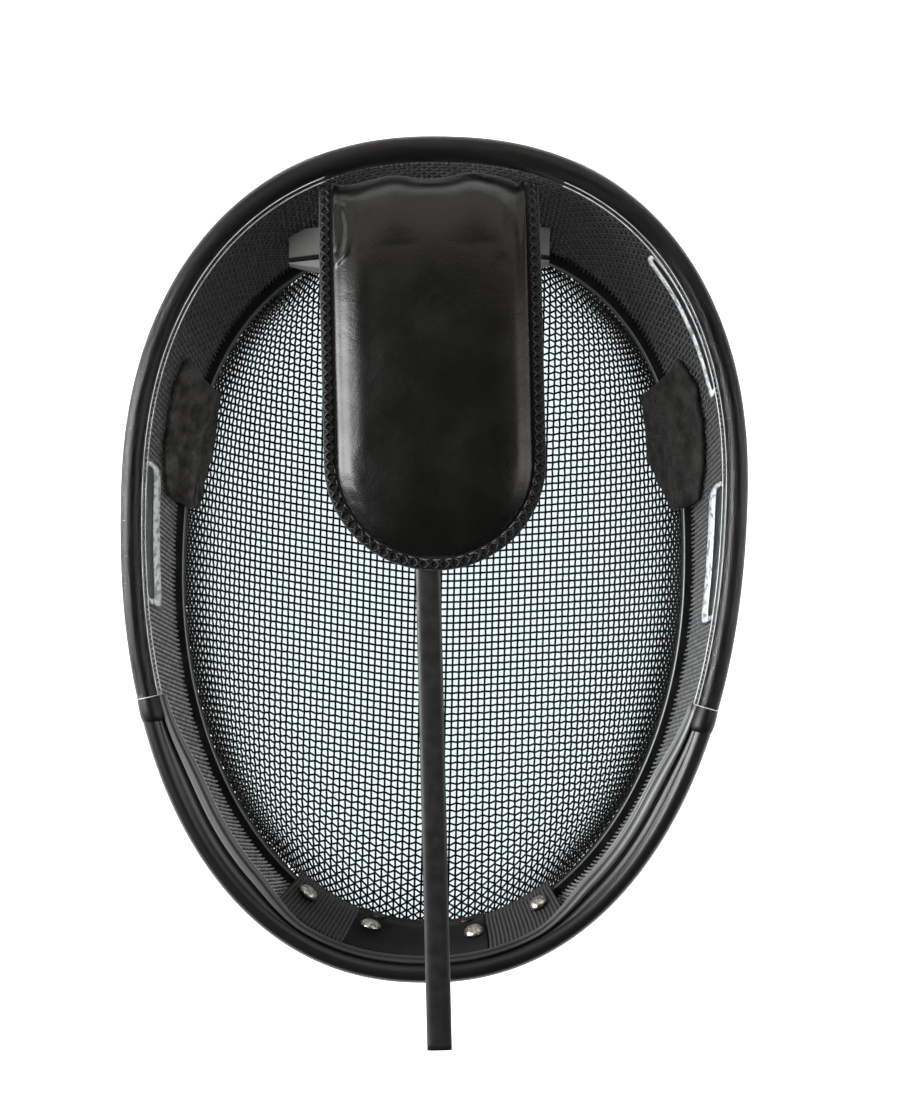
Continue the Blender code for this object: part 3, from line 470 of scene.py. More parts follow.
def hookFabric(name, paintedLightLevel):
    # loop side of hook-and-loop tape: very matte black pile, felted into clumps of a few millimetres; the
    # clumps' paler tone is set per patch, its level painted light and shade
    finish, tree, where = startMaterial(name, "#0a0a0a", 1.0, Sheen_Weight=0.06, Sheen_Roughness=0.7,
                                        Specular_IOR_Level=0.1)
    pile = addNode(tree, "TexNoise", {"Scale": 800.0, "Detail": 5.0, "Roughness": 0.7},
                   {"Vector": where["Object"]})
    clump = addNode(tree, "TexNoise", {"Scale": 170.0, "Detail": 2.0}, {"Vector": where["Object"]})
    soft = addNode(tree, "Bump", {"Distance": 0.001, "Strength": 0.5}, {"Height": clump})
    fuzz = addNode(tree, "Bump", {"Distance": 0.0006, "Strength": 0.8}, {"Height": pile, "Normal": soft})
    felted = addNode(tree, "MapRange", {"From Min": 0.35, "From Max": 0.65, "To Min": 0.2}, {"Value": clump})
    loose = addNode(tree, "Math", links={0: pile, 1: felted}, operation="MULTIPLY")
    tone = addNode(tree, "Mix", {6: "#0b0b0b", 7: paintedLightLevel}, {0: loose}, data_type="RGBA")
    return endMaterial(finish, Normal=fuzz, Base_Color=tone.outputs[2])


def ribbedWebbing():
    # woven polyester webbing: ribs across it 1.5 mm apart; a wave texture's bands repeat every 0.314 / scale
    finish, tree, where = startMaterial("woven webbing", "#0a0a0b", 0.75, Sheen_Weight=0.02)
    ribs = addNode(tree, "TexWave", {"Scale": 0.314 / 1.5, "Distortion": 0.25, "Detail": 1.0},
                   {"Vector": where["UV"]})
    threads = addNode(tree, "TexNoise", {"Scale": 1500.0, "Detail": 2.0}, {"Vector": where["Object"]})
    ridge = addNode(tree, "Bump", {"Distance": 0.0005}, {"Height": ribs.outputs["Fac"]})
    fine = addNode(tree, "Bump", {"Distance": 0.00015, "Strength": 0.6},
                   {"Height": threads, "Normal": ridge})
    # painted highlight: each rib's top lighter than its grooves
    tone = addNode(tree, "Mix", {6: "#020202", 7: "#3a3a3b"}, {0: ribs.outputs["Fac"]}, data_type="RGBA")
    return endMaterial(finish, Normal=fine, Base_Color=tone.outputs[2])


def platedSteel(name, dark, light, roughness):
    # nickel-plated rivet heads: bright but mottled where the plating has worn, in patches of 1 mm
    finish, tree, where = startMaterial(name, dark, roughness, Metallic=1.0)
    cloud = {"Scale": 700.0, "Detail": 5.0, "Roughness": 0.65}
    wear, tone = mottle(tree, where, cloud, (0.4, 0.6), dark, light)
    bump = addNode(tree, "Bump", {"Distance": 0.00015, "Strength": 0.5}, {"Height": wear})
    return endMaterial(finish, Base_Color=tone, Normal=bump)


def whiteFilm():
    # white printed border of a film label: semi-gloss, thinly inked, with a faint painted glow standing for
    # the table's light through it
    finish, tree, where = startMaterial("white printed film", "#eef1f2", 0.35, Emission_Color="#ffffff",
                                        Emission_Strength=0.12)
    tone = mottle(tree, where, {"Scale": 420.0, "Detail": 4.0}, (0.38, 0.52), "#5d6264", "#d3d8da")[1]
    return endMaterial(finish, Base_Color=tone)


def clearFilm():
    # clear label film: hardly seen but for a soft sheen
    finish, tree, where = startMaterial("clear label film", "#f2f4f5", 0.3, Transmission_Weight=1.0, IOR=1.12)
    cockle = addNode(tree, "TexNoise", {"Scale": 120.0, "Detail": 2.0}, {"Vector": where["Object"]})
    bump = addNode(tree, "Bump", {"Distance": 0.0003, "Strength": 0.4}, {"Height": cockle})
    return endMaterial(finish, Normal=bump)


enamelFace = wireEnamel("face mesh enamel", "#030303", "#0a0b0b", 0.12)
# the side wires are the face's black enamel; their grey tones, near white on the slanted wires at the sides,
# are painted light
enamelLevel = paintedLightEnamel("side mesh enamel", "#6c6d6e", "#747678")
enamelCross = paintedLightEnamel("rubbed side mesh enamel", "#3a3b3c", "#dadcde")
print("finishes ready")


# the domed face: straight wires down it, crimped wires across it, in a net whose meshes keep their length
faceWeave = {"across": 2.75, "along": 2.96, "wireRadius": 0.45, "sides": 5, "crimpDown": 0.3,
             "crimpAcross": 0.78, "lean": 0.3, "lift": 0.3, "overrun": 5.0, "edgeShare": 0.9985, "fewest": 3,
             # points of a fine line, steps to each crossing, their damping and the farthest of them
             "fine": 3001, "newtonSteps": 8, "damping": 0.01, "farthest": 1.0, "endPoints": 101,
             # the middle row: its slope to the left and to the right, the length of its rounded foot, and
             # (how far out it turns up, how sharply)
             "rowRise": (0.165, 0.1), "rowBend": 15.0, "rowTurn": (65.0, 0.0014),
             # the wire round the edge: (out from the seam line, height, radius)
             "selvedge": (-0.7, 78.3, 0.85)}


def stepsAlong(x, y, pitch):
    # points one pitch apart by length over the dome, along a fine line
    length = addUp(np.hypot(np.hypot(np.diff(x), np.diff(y)), np.diff(domeHeight(x, y))))
    places = np.arange(0, length[-1], pitch)
    return np.stack([np.interp(places, length, x), np.interp(places, length, y)], axis=-1)


def weaveQuarter(signX, signY):
    # a quarter of the net, out from the middle row and column: the next crossing C lies one mesh from both
    # of its neighbours, |C - A| = across and |C - B| = along, found on the dome by damped Newton steps;
    # each turn of the loop works out a whole diagonal of crossings at once
    w, centre = faceWeave, cage["seamCentreY"]
    fine = np.linspace(0, 1, w["fine"])
    out = (cage["seamHalfWidth"] + w["overrun"]) * fine
    rise = ((cage["seamCrown"] if signY > 0 else cage["seamChin"]) + w["overrun"]) * fine
    # the middle row rises to either side at its own slope, from a rounded foot, and turns up near the edge
    turnFrom, turn = w["rowTurn"]
    climb = w["rowRise"][int(signX > 0)] * (np.hypot(out, w["rowBend"]) - w["rowBend"])
    climb = climb + turn * np.maximum(out - turnFrom, 0) ** 2
    row = stepsAlong(signX * out, centre + climb, w["across"])
    column = stepsAlong(np.zeros_like(fine), centre + signY * rise, w["along"])
    net = np.zeros((len(row), len(column), 2))
    net[:, 0], net[0, :] = row, column
    for diagonal in range(2, len(row) + len(column) - 1):
        i = np.arange(max(1, diagonal - len(column) + 1), min(len(row) - 1, diagonal - 1) + 1)
        near, below = net[i - 1, diagonal - i], net[i, diagonal - i - 1]
        nearZ, belowZ = domeHeight(*near.T), domeHeight(*below.T)
        spot = near + below - net[i - 1, diagonal - i - 1]
        for _ in range(w["newtonSteps"]):
            x, y = spot.T
            z = domeHeight(x, y)
            slopeX, slopeY = domeSlopes(x, y)
            toNear, toBelow = spot - near, spot - below
            nearLength = np.hypot(np.hypot(*toNear.T), z - nearZ)
            belowLength = np.hypot(np.hypot(*toBelow.T), z - belowZ)
            a = (toNear[:, 0] + (z - nearZ) * slopeX) / nearLength
            b = (toNear[:, 1] + (z - nearZ) * slopeY) / nearLength
            c = (toBelow[:, 0] + (z - belowZ) * slopeX) / belowLength
            d = (toBelow[:, 1] + (z - belowZ) * slopeY) / belowLength
            missA, missB = nearLength - w["across"], belowLength - w["along"]
            xx, xy, yy = a * a + c * c + w["damping"], a * b + c * d, b * b + d * d + w["damping"]
            pullX, pullY = a * missA + c * missB, b * missA + d * missB
            step = np.stack([yy * pullX - xy * pullY, xx * pullY - xy * pullX], axis=-1)
            step = step / (xx * yy - xy * xy)[:, None]
            spot = spot - np.clip(step, -w["farthest"], w["farthest"])
        net[i, diagonal - i] = spot
    return net


def wiresAlong(net, crimp, between):
    # a wire along each line of the net, cut where it meets the band; over and under by the crimp in turn
    w, centre = faceWeave, cage["seamCentreY"]
    share = domeShare(net[..., 0], net[..., 1])
    fine = np.linspace(0, 1, w["endPoints"])[:, None]
    tubes = []
    for line, spots in enumerate(net):
        within = np.flatnonzero(share[line] < w["edgeShare"])
        if len(within) < w["fewest"]:
            continue
        run = max(np.split(within, np.flatnonzero(np.diff(within) > 1) + 1), key=len)
        if len(run) < w["fewest"] or run[0] == 0 or run[-1] == len(spots) - 1:
            continue
        ends = []
        for inner, outer in ((run[0], run[0] - 1), (run[-1], run[-1] + 1)):
            way = spots[inner] + (spots[outer] - spots[inner]) * fine
            ends.append(way[max(int(np.argmax(domeShare(*way.T) >= w["edgeShare"])) - 1, 0)])
        bend = crimp * np.where((run + line) % 2 == 0, 1.0, -1.0)
        path = spots[run]
        if between:
            path = np.stack([path, np.concatenate([(path[1:] + path[:-1]) / 2, path[-1:]])], axis=1)
            path = path.reshape(-1, 2)[:-1]
            bend = np.stack([bend, np.zeros_like(bend)], axis=1).reshape(-1)[:-1]
        path = np.concatenate([ends[:1], path, ends[1:]])
        bend = np.concatenate([[0], bend, [0]])
        x, y = path.T
        # the steep chin and crown turn part of the crimp into a lean along the dome
        y = y - bend * w["lean"] * (y - centre) / cage["seamChin"]
        points, normal = domeWire(x, y, bend)
        tubes.append(carryTube(points, w["wireRadius"], w["sides"], normal))
    return tubes


def domeWire(x, y, offset):
    # points on the dome, lifted along its normal, with the normals
    normal = domeNormal(x, y)
    point = np.stack([x, y, domeHeight(x, y)], axis=-1)
    return point + normal * (offset + faceWeave["lift"])[..., None], normal


def makeFaceWires():
    w = faceWeave
    left, right = [np.concatenate([weaveQuarter(sign, -1)[:, :0:-1], weaveQuarter(sign, 1)], axis=1)
                   for sign in (-1, 1)]
    net = np.concatenate([left[:0:-1], right])
    down = wiresAlong(net, w["crimpDown"], False)
    across = wiresAlong(net.transpose(1, 0, 2), -w["crimpAcross"], True)
    # a selvedge wire round the edge, just under the band
    share = evenShares(0, 1, 2.0)
    out, height, radius = w["selvedge"]
    selvedge = carryTube(seamPoint(share, out, height), radius, w["sides"], eggOut(seam, share))
    straight = addBundle("faceWiresDown", down + [selvedge], enamelFace)
    crimped = addBundle("faceWiresAcross", across, enamelFace)
    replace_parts(straight, "face_mesh")
    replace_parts(crimped, "face_mesh")
    print("face wires:", len(down), "down,", len(across), "across")


# the side wall: rows level with the rim, crimped cross wires with bare cut ends standing on the band
sideWeave = {"pitch": 1.8, "rowPitch": 1.65, "levelRadius": 0.28, "crossRadius": 0.4, "crossIn": 0.15,
             "sides": 5, "topRow": 5.9, "topEnd": 4.6, "bareEnds": 1.3, "shortestRow": 8,
             "tailLow": -0.1, "tailSpread": 0.5, "tailIn": 0.45, "tailWander": 0.15,
             "backRadius": 0.62, "backOut": 1.15,
             # (share of the way from crown to chin, crimp of the level wires, crimp of the cross wires)
             "crimp": [(0.0, 0.5, 0.2), (0.13, 0.5, 0.2), (0.22, 0.16, 0.1), (0.5, 0.16, 0.1)],
             # (share of the way from crown to chin, degrees the cross wires lean towards the chin)
             "lean": [(0.0, 0.0), (0.08, 3.0), (0.25, 3.5), (0.3, 7.0), (0.36, 21.0), (0.43, 24.0),
                      (0.5, 0.0)]}


def sideNet():
    # the crossings of the side wall's wires: their places, the wall's directions up and inwards, their
    # heights above the band, and how far each kind of wire is crimped there, over and under in turn
    w = sideWeave
    around = (seam["around"] + rim["around"]) / 2
    count = 2 * round(around / w["pitch"] / 2)
    base = np.arange(count) / count
    reach = wallFrame(base)[3]
    rows = int((reach.max() - w["topRow"] - w["bareEnds"]) / w["rowPitch"]) + 1
    fromRim = w["topRow"] + np.arange(rows) * w["rowPitch"]
    fromCrown = np.minimum(base, 1 - base)
    lean = np.tan(np.radians(np.interp(fromCrown, *np.array(w["lean"]).T))) * np.sign(0.5 - base)
    share = base[:, None] - lean[:, None] * (reach[:, None] * 0.5 - fromRim[None, :]) / around
    foot, up, inwards, full = wallFrame(share)
    height = full - fromRim[None, :]
    sign = np.where(np.add.outer(np.arange(count), np.arange(rows)) % 2 == 0, 1, -1)
    place, level, cross = np.array(w["crimp"]).T
    levelCrimp = sign * np.interp(fromCrown, place, level)[:, None]
    crossCrimp = sign * np.interp(fromCrown, place, cross)[:, None]
    return foot + up * height[..., None], up, inwards, height, levelCrimp, crossCrimp


def crossWire(middle, up, inwards, height, crimp):
    # one leaning wire from under the rim to its bare end, cut at an uneven length above the band
    w = sideWeave
    stop = len(middle)
    path = middle + inwards * (w["crossIn"] + crimp)[:, None]
    top = middle[:1] + up[:1] * (w["topRow"] - w["topEnd"])
    low = w["tailLow"] + w["tailSpread"] * random.random()
    run = middle[stop - 1] - middle[stop - 2]
    slant = run / np.abs(run @ up[stop - 1]) * (height[stop - 1] - low)
    tail = middle[stop - 1] + slant + inwards[-1] * random.normal(w["tailIn"], w["tailWander"])
    side = np.concatenate([inwards[:1], inwards, inwards[-1:]])
    return carryTube(np.concatenate([top, path, tail[None]]), w["crossRadius"], w["sides"], side)


def makeSideWires():
    w = sideWeave
    middle, up, inwards, height, levelCrimp, crossCrimp = sideNet()
    count, rows = height.shape
    order = (np.arange(count) + count // 2) % count          # from the chin round the crown and back
    rowWires, crossWires, shadePlyWires = [], [], []
    for row in range(rows):
        there = order[height[order, row] > w["bareEnds"]]
        if len(there) < w["shortestRow"]:
            continue
        path = middle[there, row] - inwards[there, row] * levelCrimp[there, row][:, None]
        rowWires.append(carryTube(path, w["levelRadius"], w["sides"], inwards[there, row]))
        # a second, plain ply of black wires lies outside the first, its wires half a row lower: painted
        # shade, darkening the view through the wall
        some = there[::2]
        path = middle[some, row] - inwards[some, row] * w["backOut"] - up[some, row] * w["rowPitch"] / 2
        shadePlyWires.append(carryTube(path, w["backRadius"], w["sides"], inwards[some, row]))
    for line in range(count):
        stop = int(np.count_nonzero(height[line] > w["bareEnds"]))
        if stop >= 2:
            crossWires.append(crossWire(middle[line, :stop], up[line, :stop], inwards[line, :stop],
                                        height[line, :stop], crossCrimp[line, :stop]))
    for name, tubes, finish in (("sideWiresLevel", rowWires, enamelLevel),
                                ("sideWiresSlanted", crossWires, enamelCross),
                                ("sideWiresOuter", shadePlyWires, enamelFace)):
        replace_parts(addBundle(name, tubes, finish), "side_mesh")
    print("side wires:", len(rowWires), "level,", len(crossWires), "slanted,", len(shadePlyWires), "outer")


def roundedProfile(corners, radius, steps):
    # closed profile with each corner turned in a quarter-like arc of the given radius, or of the most that
    # it may take of a side
    most = 0.45
    pts = np.array(corners, dtype=float)
    out = []
    for before, at, after in zip(np.roll(pts, 1, axis=0), pts, np.roll(pts, -1, axis=0)):
        a = at + unit(before - at) * min(radius, most * np.linalg.norm(before - at))
        b = at + unit(after - at) * min(radius, most * np.linalg.norm(after - at))
        t = np.linspace(0, 1, steps + 1)[:, None]
        out.append((1 - t) ** 2 * a + 2 * t * (1 - t) * at + t ** 2 * b)
    return np.concatenate(out)


bandSize = {"ledgeOut": 5.0, "ledgeDrop": 0.5, "corner": 0.7, "cornerSteps": 4, "steps": 360}


def makeBand():
    # the band's section carried round the seam; its ledge runs out under the side wires' bare ends
    c, b = cage, bandSize
    corners = [(c["bandIn"], c["bandTop"]), (c["bandIn"], c["bandBottom"]), (b["ledgeOut"], c["bandBottom"]),
               (b["ledgeOut"], c["bandTop"] - b["ledgeDrop"])]
    profile = roundedProfile(corners, b["corner"], b["cornerSteps"])
    share = np.arange(b["steps"]) / b["steps"]
    rings = np.stack([seamPoint(share, out, z) for out, z in profile], axis=1)
    # UV across: millimetres from the inner top edge, for the painted highlight line along it
    away = np.hypot(profile[:, 0] - c["bandIn"], profile[:, 1] - c["bandTop"])
    piece = addLoft("seamBand", rings, paintedBand(), True, share * seam["around"], away)
    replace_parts(piece, "seam_band")


rollSize = {"bulbRadius": 4.4, "sleeveOuter": 5.0, "sleeveWall": 0.75, "sides": 28, "step": 3.0,
            # the slit sleeve's two cut lips, painted white as highlights: degrees round from outwards,
            # distance from the middle, thickness
            "lips": [(146.0, 5.1, 0.12), (174.0, 5.3, 0.2)], "edge": (3.0, 4.95, 0.12),
            "lipsFrom": 46.0, "lipSteps": 120, "collar": 0.14, "collarSides": 48, "sleeveGap": 0.1,
            "sleeveSides": 40, "threadSides": 6, "noseRings": (14, 1.6),
            # the end's nose: (distance back from its tip, share of the bulb's radius)
            "nose": [(0, 0.18), (0.5, 0.52), (1.4, 0.78), (2.8, 0.96), (5.5, 1.0), (9.0, 0.96), (11.2, 0.91)],
            # (distance from the crown, radius of the core)
            "coreRadii": [(0, 4.7), (60, 4.7), (120, 4.0), (400, 4.0)]}


def rimRings(share, radius, sides):
    turn = np.arange(sides) * 2 * math.pi / sides
    out = eggOut(rim, share)[:, None]
    ring = out * np.cos(turn)[None, :, None] + upward * np.sin(turn)[None, :, None]
    return rimPoint(share)[:, None] + ring * np.broadcast_to(radius, share.shape)[:, None, None]


def makeRoll():
    # roll: circles along the rim line; past the sleeve each end swells, then closes in a round nose
    r = rollSize
    rings, crowding = r["noseRings"]
    tail = r["nose"][-1][0] * np.linspace(0, 1, rings) ** crowding
    tailRadius = r["bulbRadius"] * np.interp(tail, *np.array(r["nose"]).T)
    body = evenShares(-sleeveEnd, sleeveEnd, r["step"])
    ends = rollEnd - tail / rim["around"]
    share = np.concatenate([-ends, body[1:-1], ends[::-1]])
    full = np.interp(np.abs(body) * rim["around"], *np.array(r["coreRadii"]).T)
    radius = np.concatenate([tailRadius, full[1:-1], tailRadius[::-1]])
    core = addLoft("upperRoll", rimRings(share, radius, r["sides"]), rollRubber())
    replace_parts(core, "upper_rim")
    outer = np.full(len(body), r["sleeveOuter"])
    inner = np.maximum(full + r["sleeveGap"], outer - r["sleeveWall"])
    walls = [rimRings(body, radius, r["sleeveSides"]) for radius in (outer, inner)]
    sleeve = addPipe("clearSleeve", *walls, clearTube(), "sleeve")
    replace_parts(sleeve, "rim_sleeve")
    # a lip is a thin round line at one angle of the sleeve's section, down each side of the cage, painted as
    # a highlight
    lines, edges = [], []
    for side in (-1, 1):
        there = side * np.linspace(r["lipsFrom"] / rim["around"], sleeveEnd, r["lipSteps"])
        out = eggOut(rim, there)
        for degrees, away, thick in r["lips"] + [r["edge"]]:
            turn = math.radians(degrees)
            line = rimPoint(there) + out * (away * math.cos(turn)) + upward * (away * math.sin(turn))
            kind = edges if degrees == r["edge"][0] else lines
            kind.append(carryTube(line, thick, r["threadSides"], out))
        # a painted white highlight round the square cut end
        ring = rimRings(there[-1:], outer[:1] - r["sleeveGap"], r["collarSides"])[0]
        ring = np.concatenate([ring, ring[:1]])
        lines.append(carryTube(ring, r["collar"], r["threadSides"], unit(ring - rimPoint(there[-1]))))
    addBundle("sleeveLips", lines, sleeveLip("cut PVC lip", "#c9cfd2", "#f6f8f9"))
    # the outer edge: a grey line of painted shade along the clear sleeve's outline
    addBundle("sleeveOuterEdge", edges, sleeveLip("shaded PVC edge", "#3b4044", "#6b7276"))
    print("roll and sleeve ready")


edging = {
    "bulbRadius": 3.6, "bulbOut": 0.4, "step": 2.5, "bead": (-42, 142, 24), "smooth": 9,
    # (length from the chin, width of the lip as a share)
    "lipWidths": [(0, 0.5), (57, 0.5), (66, 0.88), (100, 0.9), (125, 0.95), (145, 0.62), (160, 0.55),
                  (185, 0.46)],
    # (out, up) from the bulb over its slope, groove, ridge and thin flange to the underside
    "slope": [(-3.1, 2.35), (-3.5, 2.0), (-3.9, 2.05), (-4.3, 1.55), (-4.7, 1.5), (-5.0, 0.5), (-5.5, -0.5),
              (-6.1, -0.6), (-6.5, 0.2), (-6.9, 0.9), (-7.4, 1.05), (-8.0, 0.95), (-8.6, 0.65), (-9.2, 0.1),
              (-9.5, -0.4), (-9.9, -0.15), (-10.6, -0.7), (-11.2, -1.5), (-11.35, -1.9), (-11.2, -2.3),
              (-10.7, -2.5), (-6.5, -2.0)],
    "saddleIn": 1.9, "saddleOut": 1.5,
    # (share of the way round the section, tone) of the grey painted highlights on the profile
    "bloom": [(0.49, "#121314"), (0.52, "#4f5254"), (0.585, "#3a3c3e"), (0.61, "#08090a"),
              (0.645, "#0a0b0c"), (0.668, "#b9bcbe"), (0.70, "#85888a"), (0.745, "#8f9294"),
              (0.772, "#101112"), (0.79, "#131415"), (0.815, "#6f7274"), (0.85, "#7b7e80"),
              (0.872, "#d5d8d9"), (0.90, "#1c1d1e")],
}


def makeEdging():
    e = edging
    start = sleeveEnd + cage["gap"] / rim["around"]          # it comes out beside the roll's swollen end
    share = evenShares(start, 1 - start, e["step"])
    middle = rimPoint(share)
    out = eggOut(rim, share)
    _, upWall, inwards, _ = wallFrame(share)
    fromChin = np.abs(share - 0.5) * rim["around"]
    widen = np.interp(fromChin, *np.array(e["lipWidths"]).T)
    mean = np.ones(e["smooth"]) / e["smooth"]
    widen = np.convolve(np.pad(widen, len(mean) // 2, mode="edge"), mean, mode="valid")
    ring = []
    turn = np.radians(np.linspace(*e["bead"]))               # the round outer bead
    for side, rise in zip(e["bulbOut"] + e["bulbRadius"] * np.cos(turn), e["bulbRadius"] * np.sin(turn)):
        ring.append(middle + out * side + upward * rise)
    for side, rise in e["slope"]:
        ring.append(middle + out * (side * widen)[:, None] + upward * rise)
    ring.append(middle - upWall * e["bulbRadius"] + inwards * e["saddleIn"])
    ring.append(middle - upWall * e["bulbRadius"] - inwards * e["saddleOut"])
    rings = np.stack(ring, axis=1)
    around = np.arange(len(ring)) / len(ring)
    piece = addLoft("chinEdging", rings, edgingPVC(), length=share * rim["around"], around=around)
    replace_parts(piece, "lower_rim")
    print("edging ready")


tongue = {"lean": 2.5, "x": -1.5, "y": 7.0, "halfWidth": 4.5, "halfThick": 1.3, "power": 3.2,
          "crownBend": 128, "rings": 160, "sides": 24,
          # (along, z) of the spring's middle line, from its free end over the chin to its root on the crown
          "route": [(-172.0, 138.00), (-100.0, 138.90), (-30.0, 140.20), (40.0, 141.00), (85.0, 140.90),
                    (112.0, 139.00), (128.0, 134.60), (136.4, 128.20), (140.0, 122.40), (141.2, 116.60),
                    (138.85, 109.60)]}


def smoothRoute(route, steps):
    # Catmull-Rom curve through the points, or through whole rows of points
    knots = np.array(route, dtype=float)
    padded = np.concatenate([[2 * knots[0] - knots[1]], knots, [2 * knots[-1] - knots[-2]]])
    t = np.linspace(0, 1, steps, endpoint=False).reshape((-1,) + (1,) * (knots.ndim - 1))
    parts = []
    for a, b, c, d in zip(padded[:-3], padded[1:-2], padded[2:-1], padded[3:]):
        square, cube = 2 * a - 5 * b + 4 * c - d, 3 * b - a - 3 * c + d
        parts.append(0.5 * (2 * b + (c - a) * t + square * t ** 2 + cube * t ** 3))
    return np.concatenate(parts + [knots[-1:]])


tongueLine = smoothRoute(tongue["route"], 24)
tongueLength = addUp(np.hypot(*np.diff(tongueLine, axis=0).T))
tongueRun = unit(np.gradient(tongueLine, tongueLength, axis=0))


def lengthAt(along):
    bend = int(np.argmax(tongueLine[:, 0]))
    return float(np.interp(along, tongueLine[:bend, 0], tongueLength[:bend]))


def tonguePoint(across, length, height):
    # across the tongue, along its middle line, above it
    across, length, height = np.broadcast_arrays(across, length, height)
    run = np.stack([np.interp(length, tongueLength, tongueRun[:, i]) for i in (0, 1)], axis=-1)
    place = np.stack([np.interp(length, tongueLength, tongueLine[:, i]) for i in (0, 1)], axis=-1)
    along = place[..., 0] - run[..., 1] * height
    z = place[..., 1] + run[..., 0] * height
    turn = math.radians(tongue["lean"])
    x = tongue["x"] + across * math.cos(turn) - along * math.sin(turn)
    y = tongue["y"] + across * math.sin(turn) + along * math.cos(turn)
    return np.stack([x, y, z], axis=-1)


def superRing(halfWidth, above, below, power, sides):
    turn = (np.arange(sides) + 0.5) * 2 * math.pi / sides
    across = np.sign(np.cos(turn)) * np.abs(np.cos(turn)) ** (2 / power) * halfWidth
    tall = np.where(np.sin(turn) >= 0, above, below)
    return across, np.sign(np.sin(turn)) * np.abs(np.sin(turn)) ** (2 / power) * tall


def makeSpring():
    t = tongue
    length = np.linspace(0, tongueLength[-1], t["rings"])
    across, height = superRing(t["halfWidth"], t["halfThick"], t["halfThick"], t["power"], t["sides"])
    rings = tonguePoint(across[None, :], length[:, None], height[None, :])
    piece = addLoft("tongueSpring", rings, springSleeve(), length=length)
    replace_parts(piece, "tongue_spring")


padSize = {"shift": 3.4, "tip": 4.2, "pastBend": 14.0, "round": 33.9, "half": 34.95, "seamUp": 2.5,
           "front": 7.0, "frontTip": 2.0, "frontTop": 1.6, "back": -3.4, "power": 2.7,
           "channelHalfWidth": 4.9, "channelHalfThick": 1.65, "rows": 210, "tipRows": 36, "sides": 168,
           "topEdge": 9.0,       # from the pad's end back to the edge that is seen over the crown
           "tipFrom": 12, "topFade": 24,                     # degrees, millimetres
           # humps of the top edge: place across, width, height
           "shoulders": [(-12.5, 7.0, 1.6), (16.0, 7.5, 1.9), (-28.0, 5.0, -1.3), (31.5, 4.0, -1.2)],
           # creases: points along each (across, back from the top edge), width, height
           "creases": [([(-34, 3), (-30.5, 5), (-28.8, 10), (-28.4, 16), (-30, 22), (-33.5, 25)], 0.9, 0.7),
                       ([(-33.5, 6), (-31.6, 8.5), (-30.9, 13), (-31.5, 19), (-33.5, 21)], 0.8, -0.6),
                       ([(-27.0, 3), (-25.5, 9), (-26.0, 19)], 2.2, 0.25),
                       ([(26, 6), (25.0, 14), (26.0, 22)], 2.2, 0.3),
                       ([(21.5, 9), (21.0, 17)], 1.8, 0.15), ([(-20, 8), (-7, 11)], 3.0, 0.15),
                       ([(4, 7), (19, 9)], 3.0, 0.15), ([(-25.5, 25), (-25.5, 90)], 3.0, 0.2),
                       ([(31.0, 22), (31.0, 95)], 3.0, 0.15), ([(-31, 99), (-26.5, 101)], 1.6, 0.12),
                       ([(-31, 104), (-25.5, 107)], 1.7, 0.13), ([(-30, 110), (-25.5, 112)], 1.6, 0.12)],
           "hem": (3.0, 1.3, -0.25),
           # the filling's slow wave: height, turns across and back, swell back and its start
           "wave": (0.2, 0.09, 0.062, 0.075, 1.3),
           "shoulderFade": (20, 14), "frontFrom": (0.25, 0.3)}


def padEnds():
    # lengths along the tongue of the pad's tip and of its end past the crown's bend
    return lengthAt(padSize["tip"]), lengthAt(tongue["crownBend"]) + padSize["pastBend"]


def padHalf(fromTip):
    # quarter ellipse at the tip, then straight sides
    p = padSize
    return p["half"] * np.sqrt(1 - np.clip(1 - fromTip / p["round"], 0, 1) ** 2)


def padFolds(across, back, half):
    # relief of the front in mm: each crease is height * exp(-(distance to its line / width)^2), each
    # shoulder a hump over the top edge, with a slow wave for the filling and a sunk line inside the hem
    p = padSize
    size, turnAcross, turnBack, swell, start = p["wave"]
    relief = size * np.sin(turnAcross * across + turnBack * back) * np.sin(swell * back + start)
    for knots, width, height in p["creases"]:
        away = np.full(relief.shape, np.inf)
        for (x1, t1), (x2, t2) in zip(knots[:-1], knots[1:]):
            run = np.hypot(x2 - x1, t2 - t1)
            along = np.clip(((across - x1) * (x2 - x1) + (back - t1) * (t2 - t1)) / run ** 2, 0, 1)
            away = np.minimum(away, np.hypot(across - x1 - along * (x2 - x1), back - t1 - along * (t2 - t1)))
        relief += height * np.exp(-(away / width) ** 2)
    over = np.clip((p["shoulderFade"][0] - back) / p["shoulderFade"][1], 0, 1)
    for place, width, height in p["shoulders"]:
        relief += height * over * np.exp(-((across - place) / width) ** 2)
    inside, width, depth = p["hem"]
    return relief + depth * np.exp(-((half - np.abs(across) - inside) / width) ** 2)


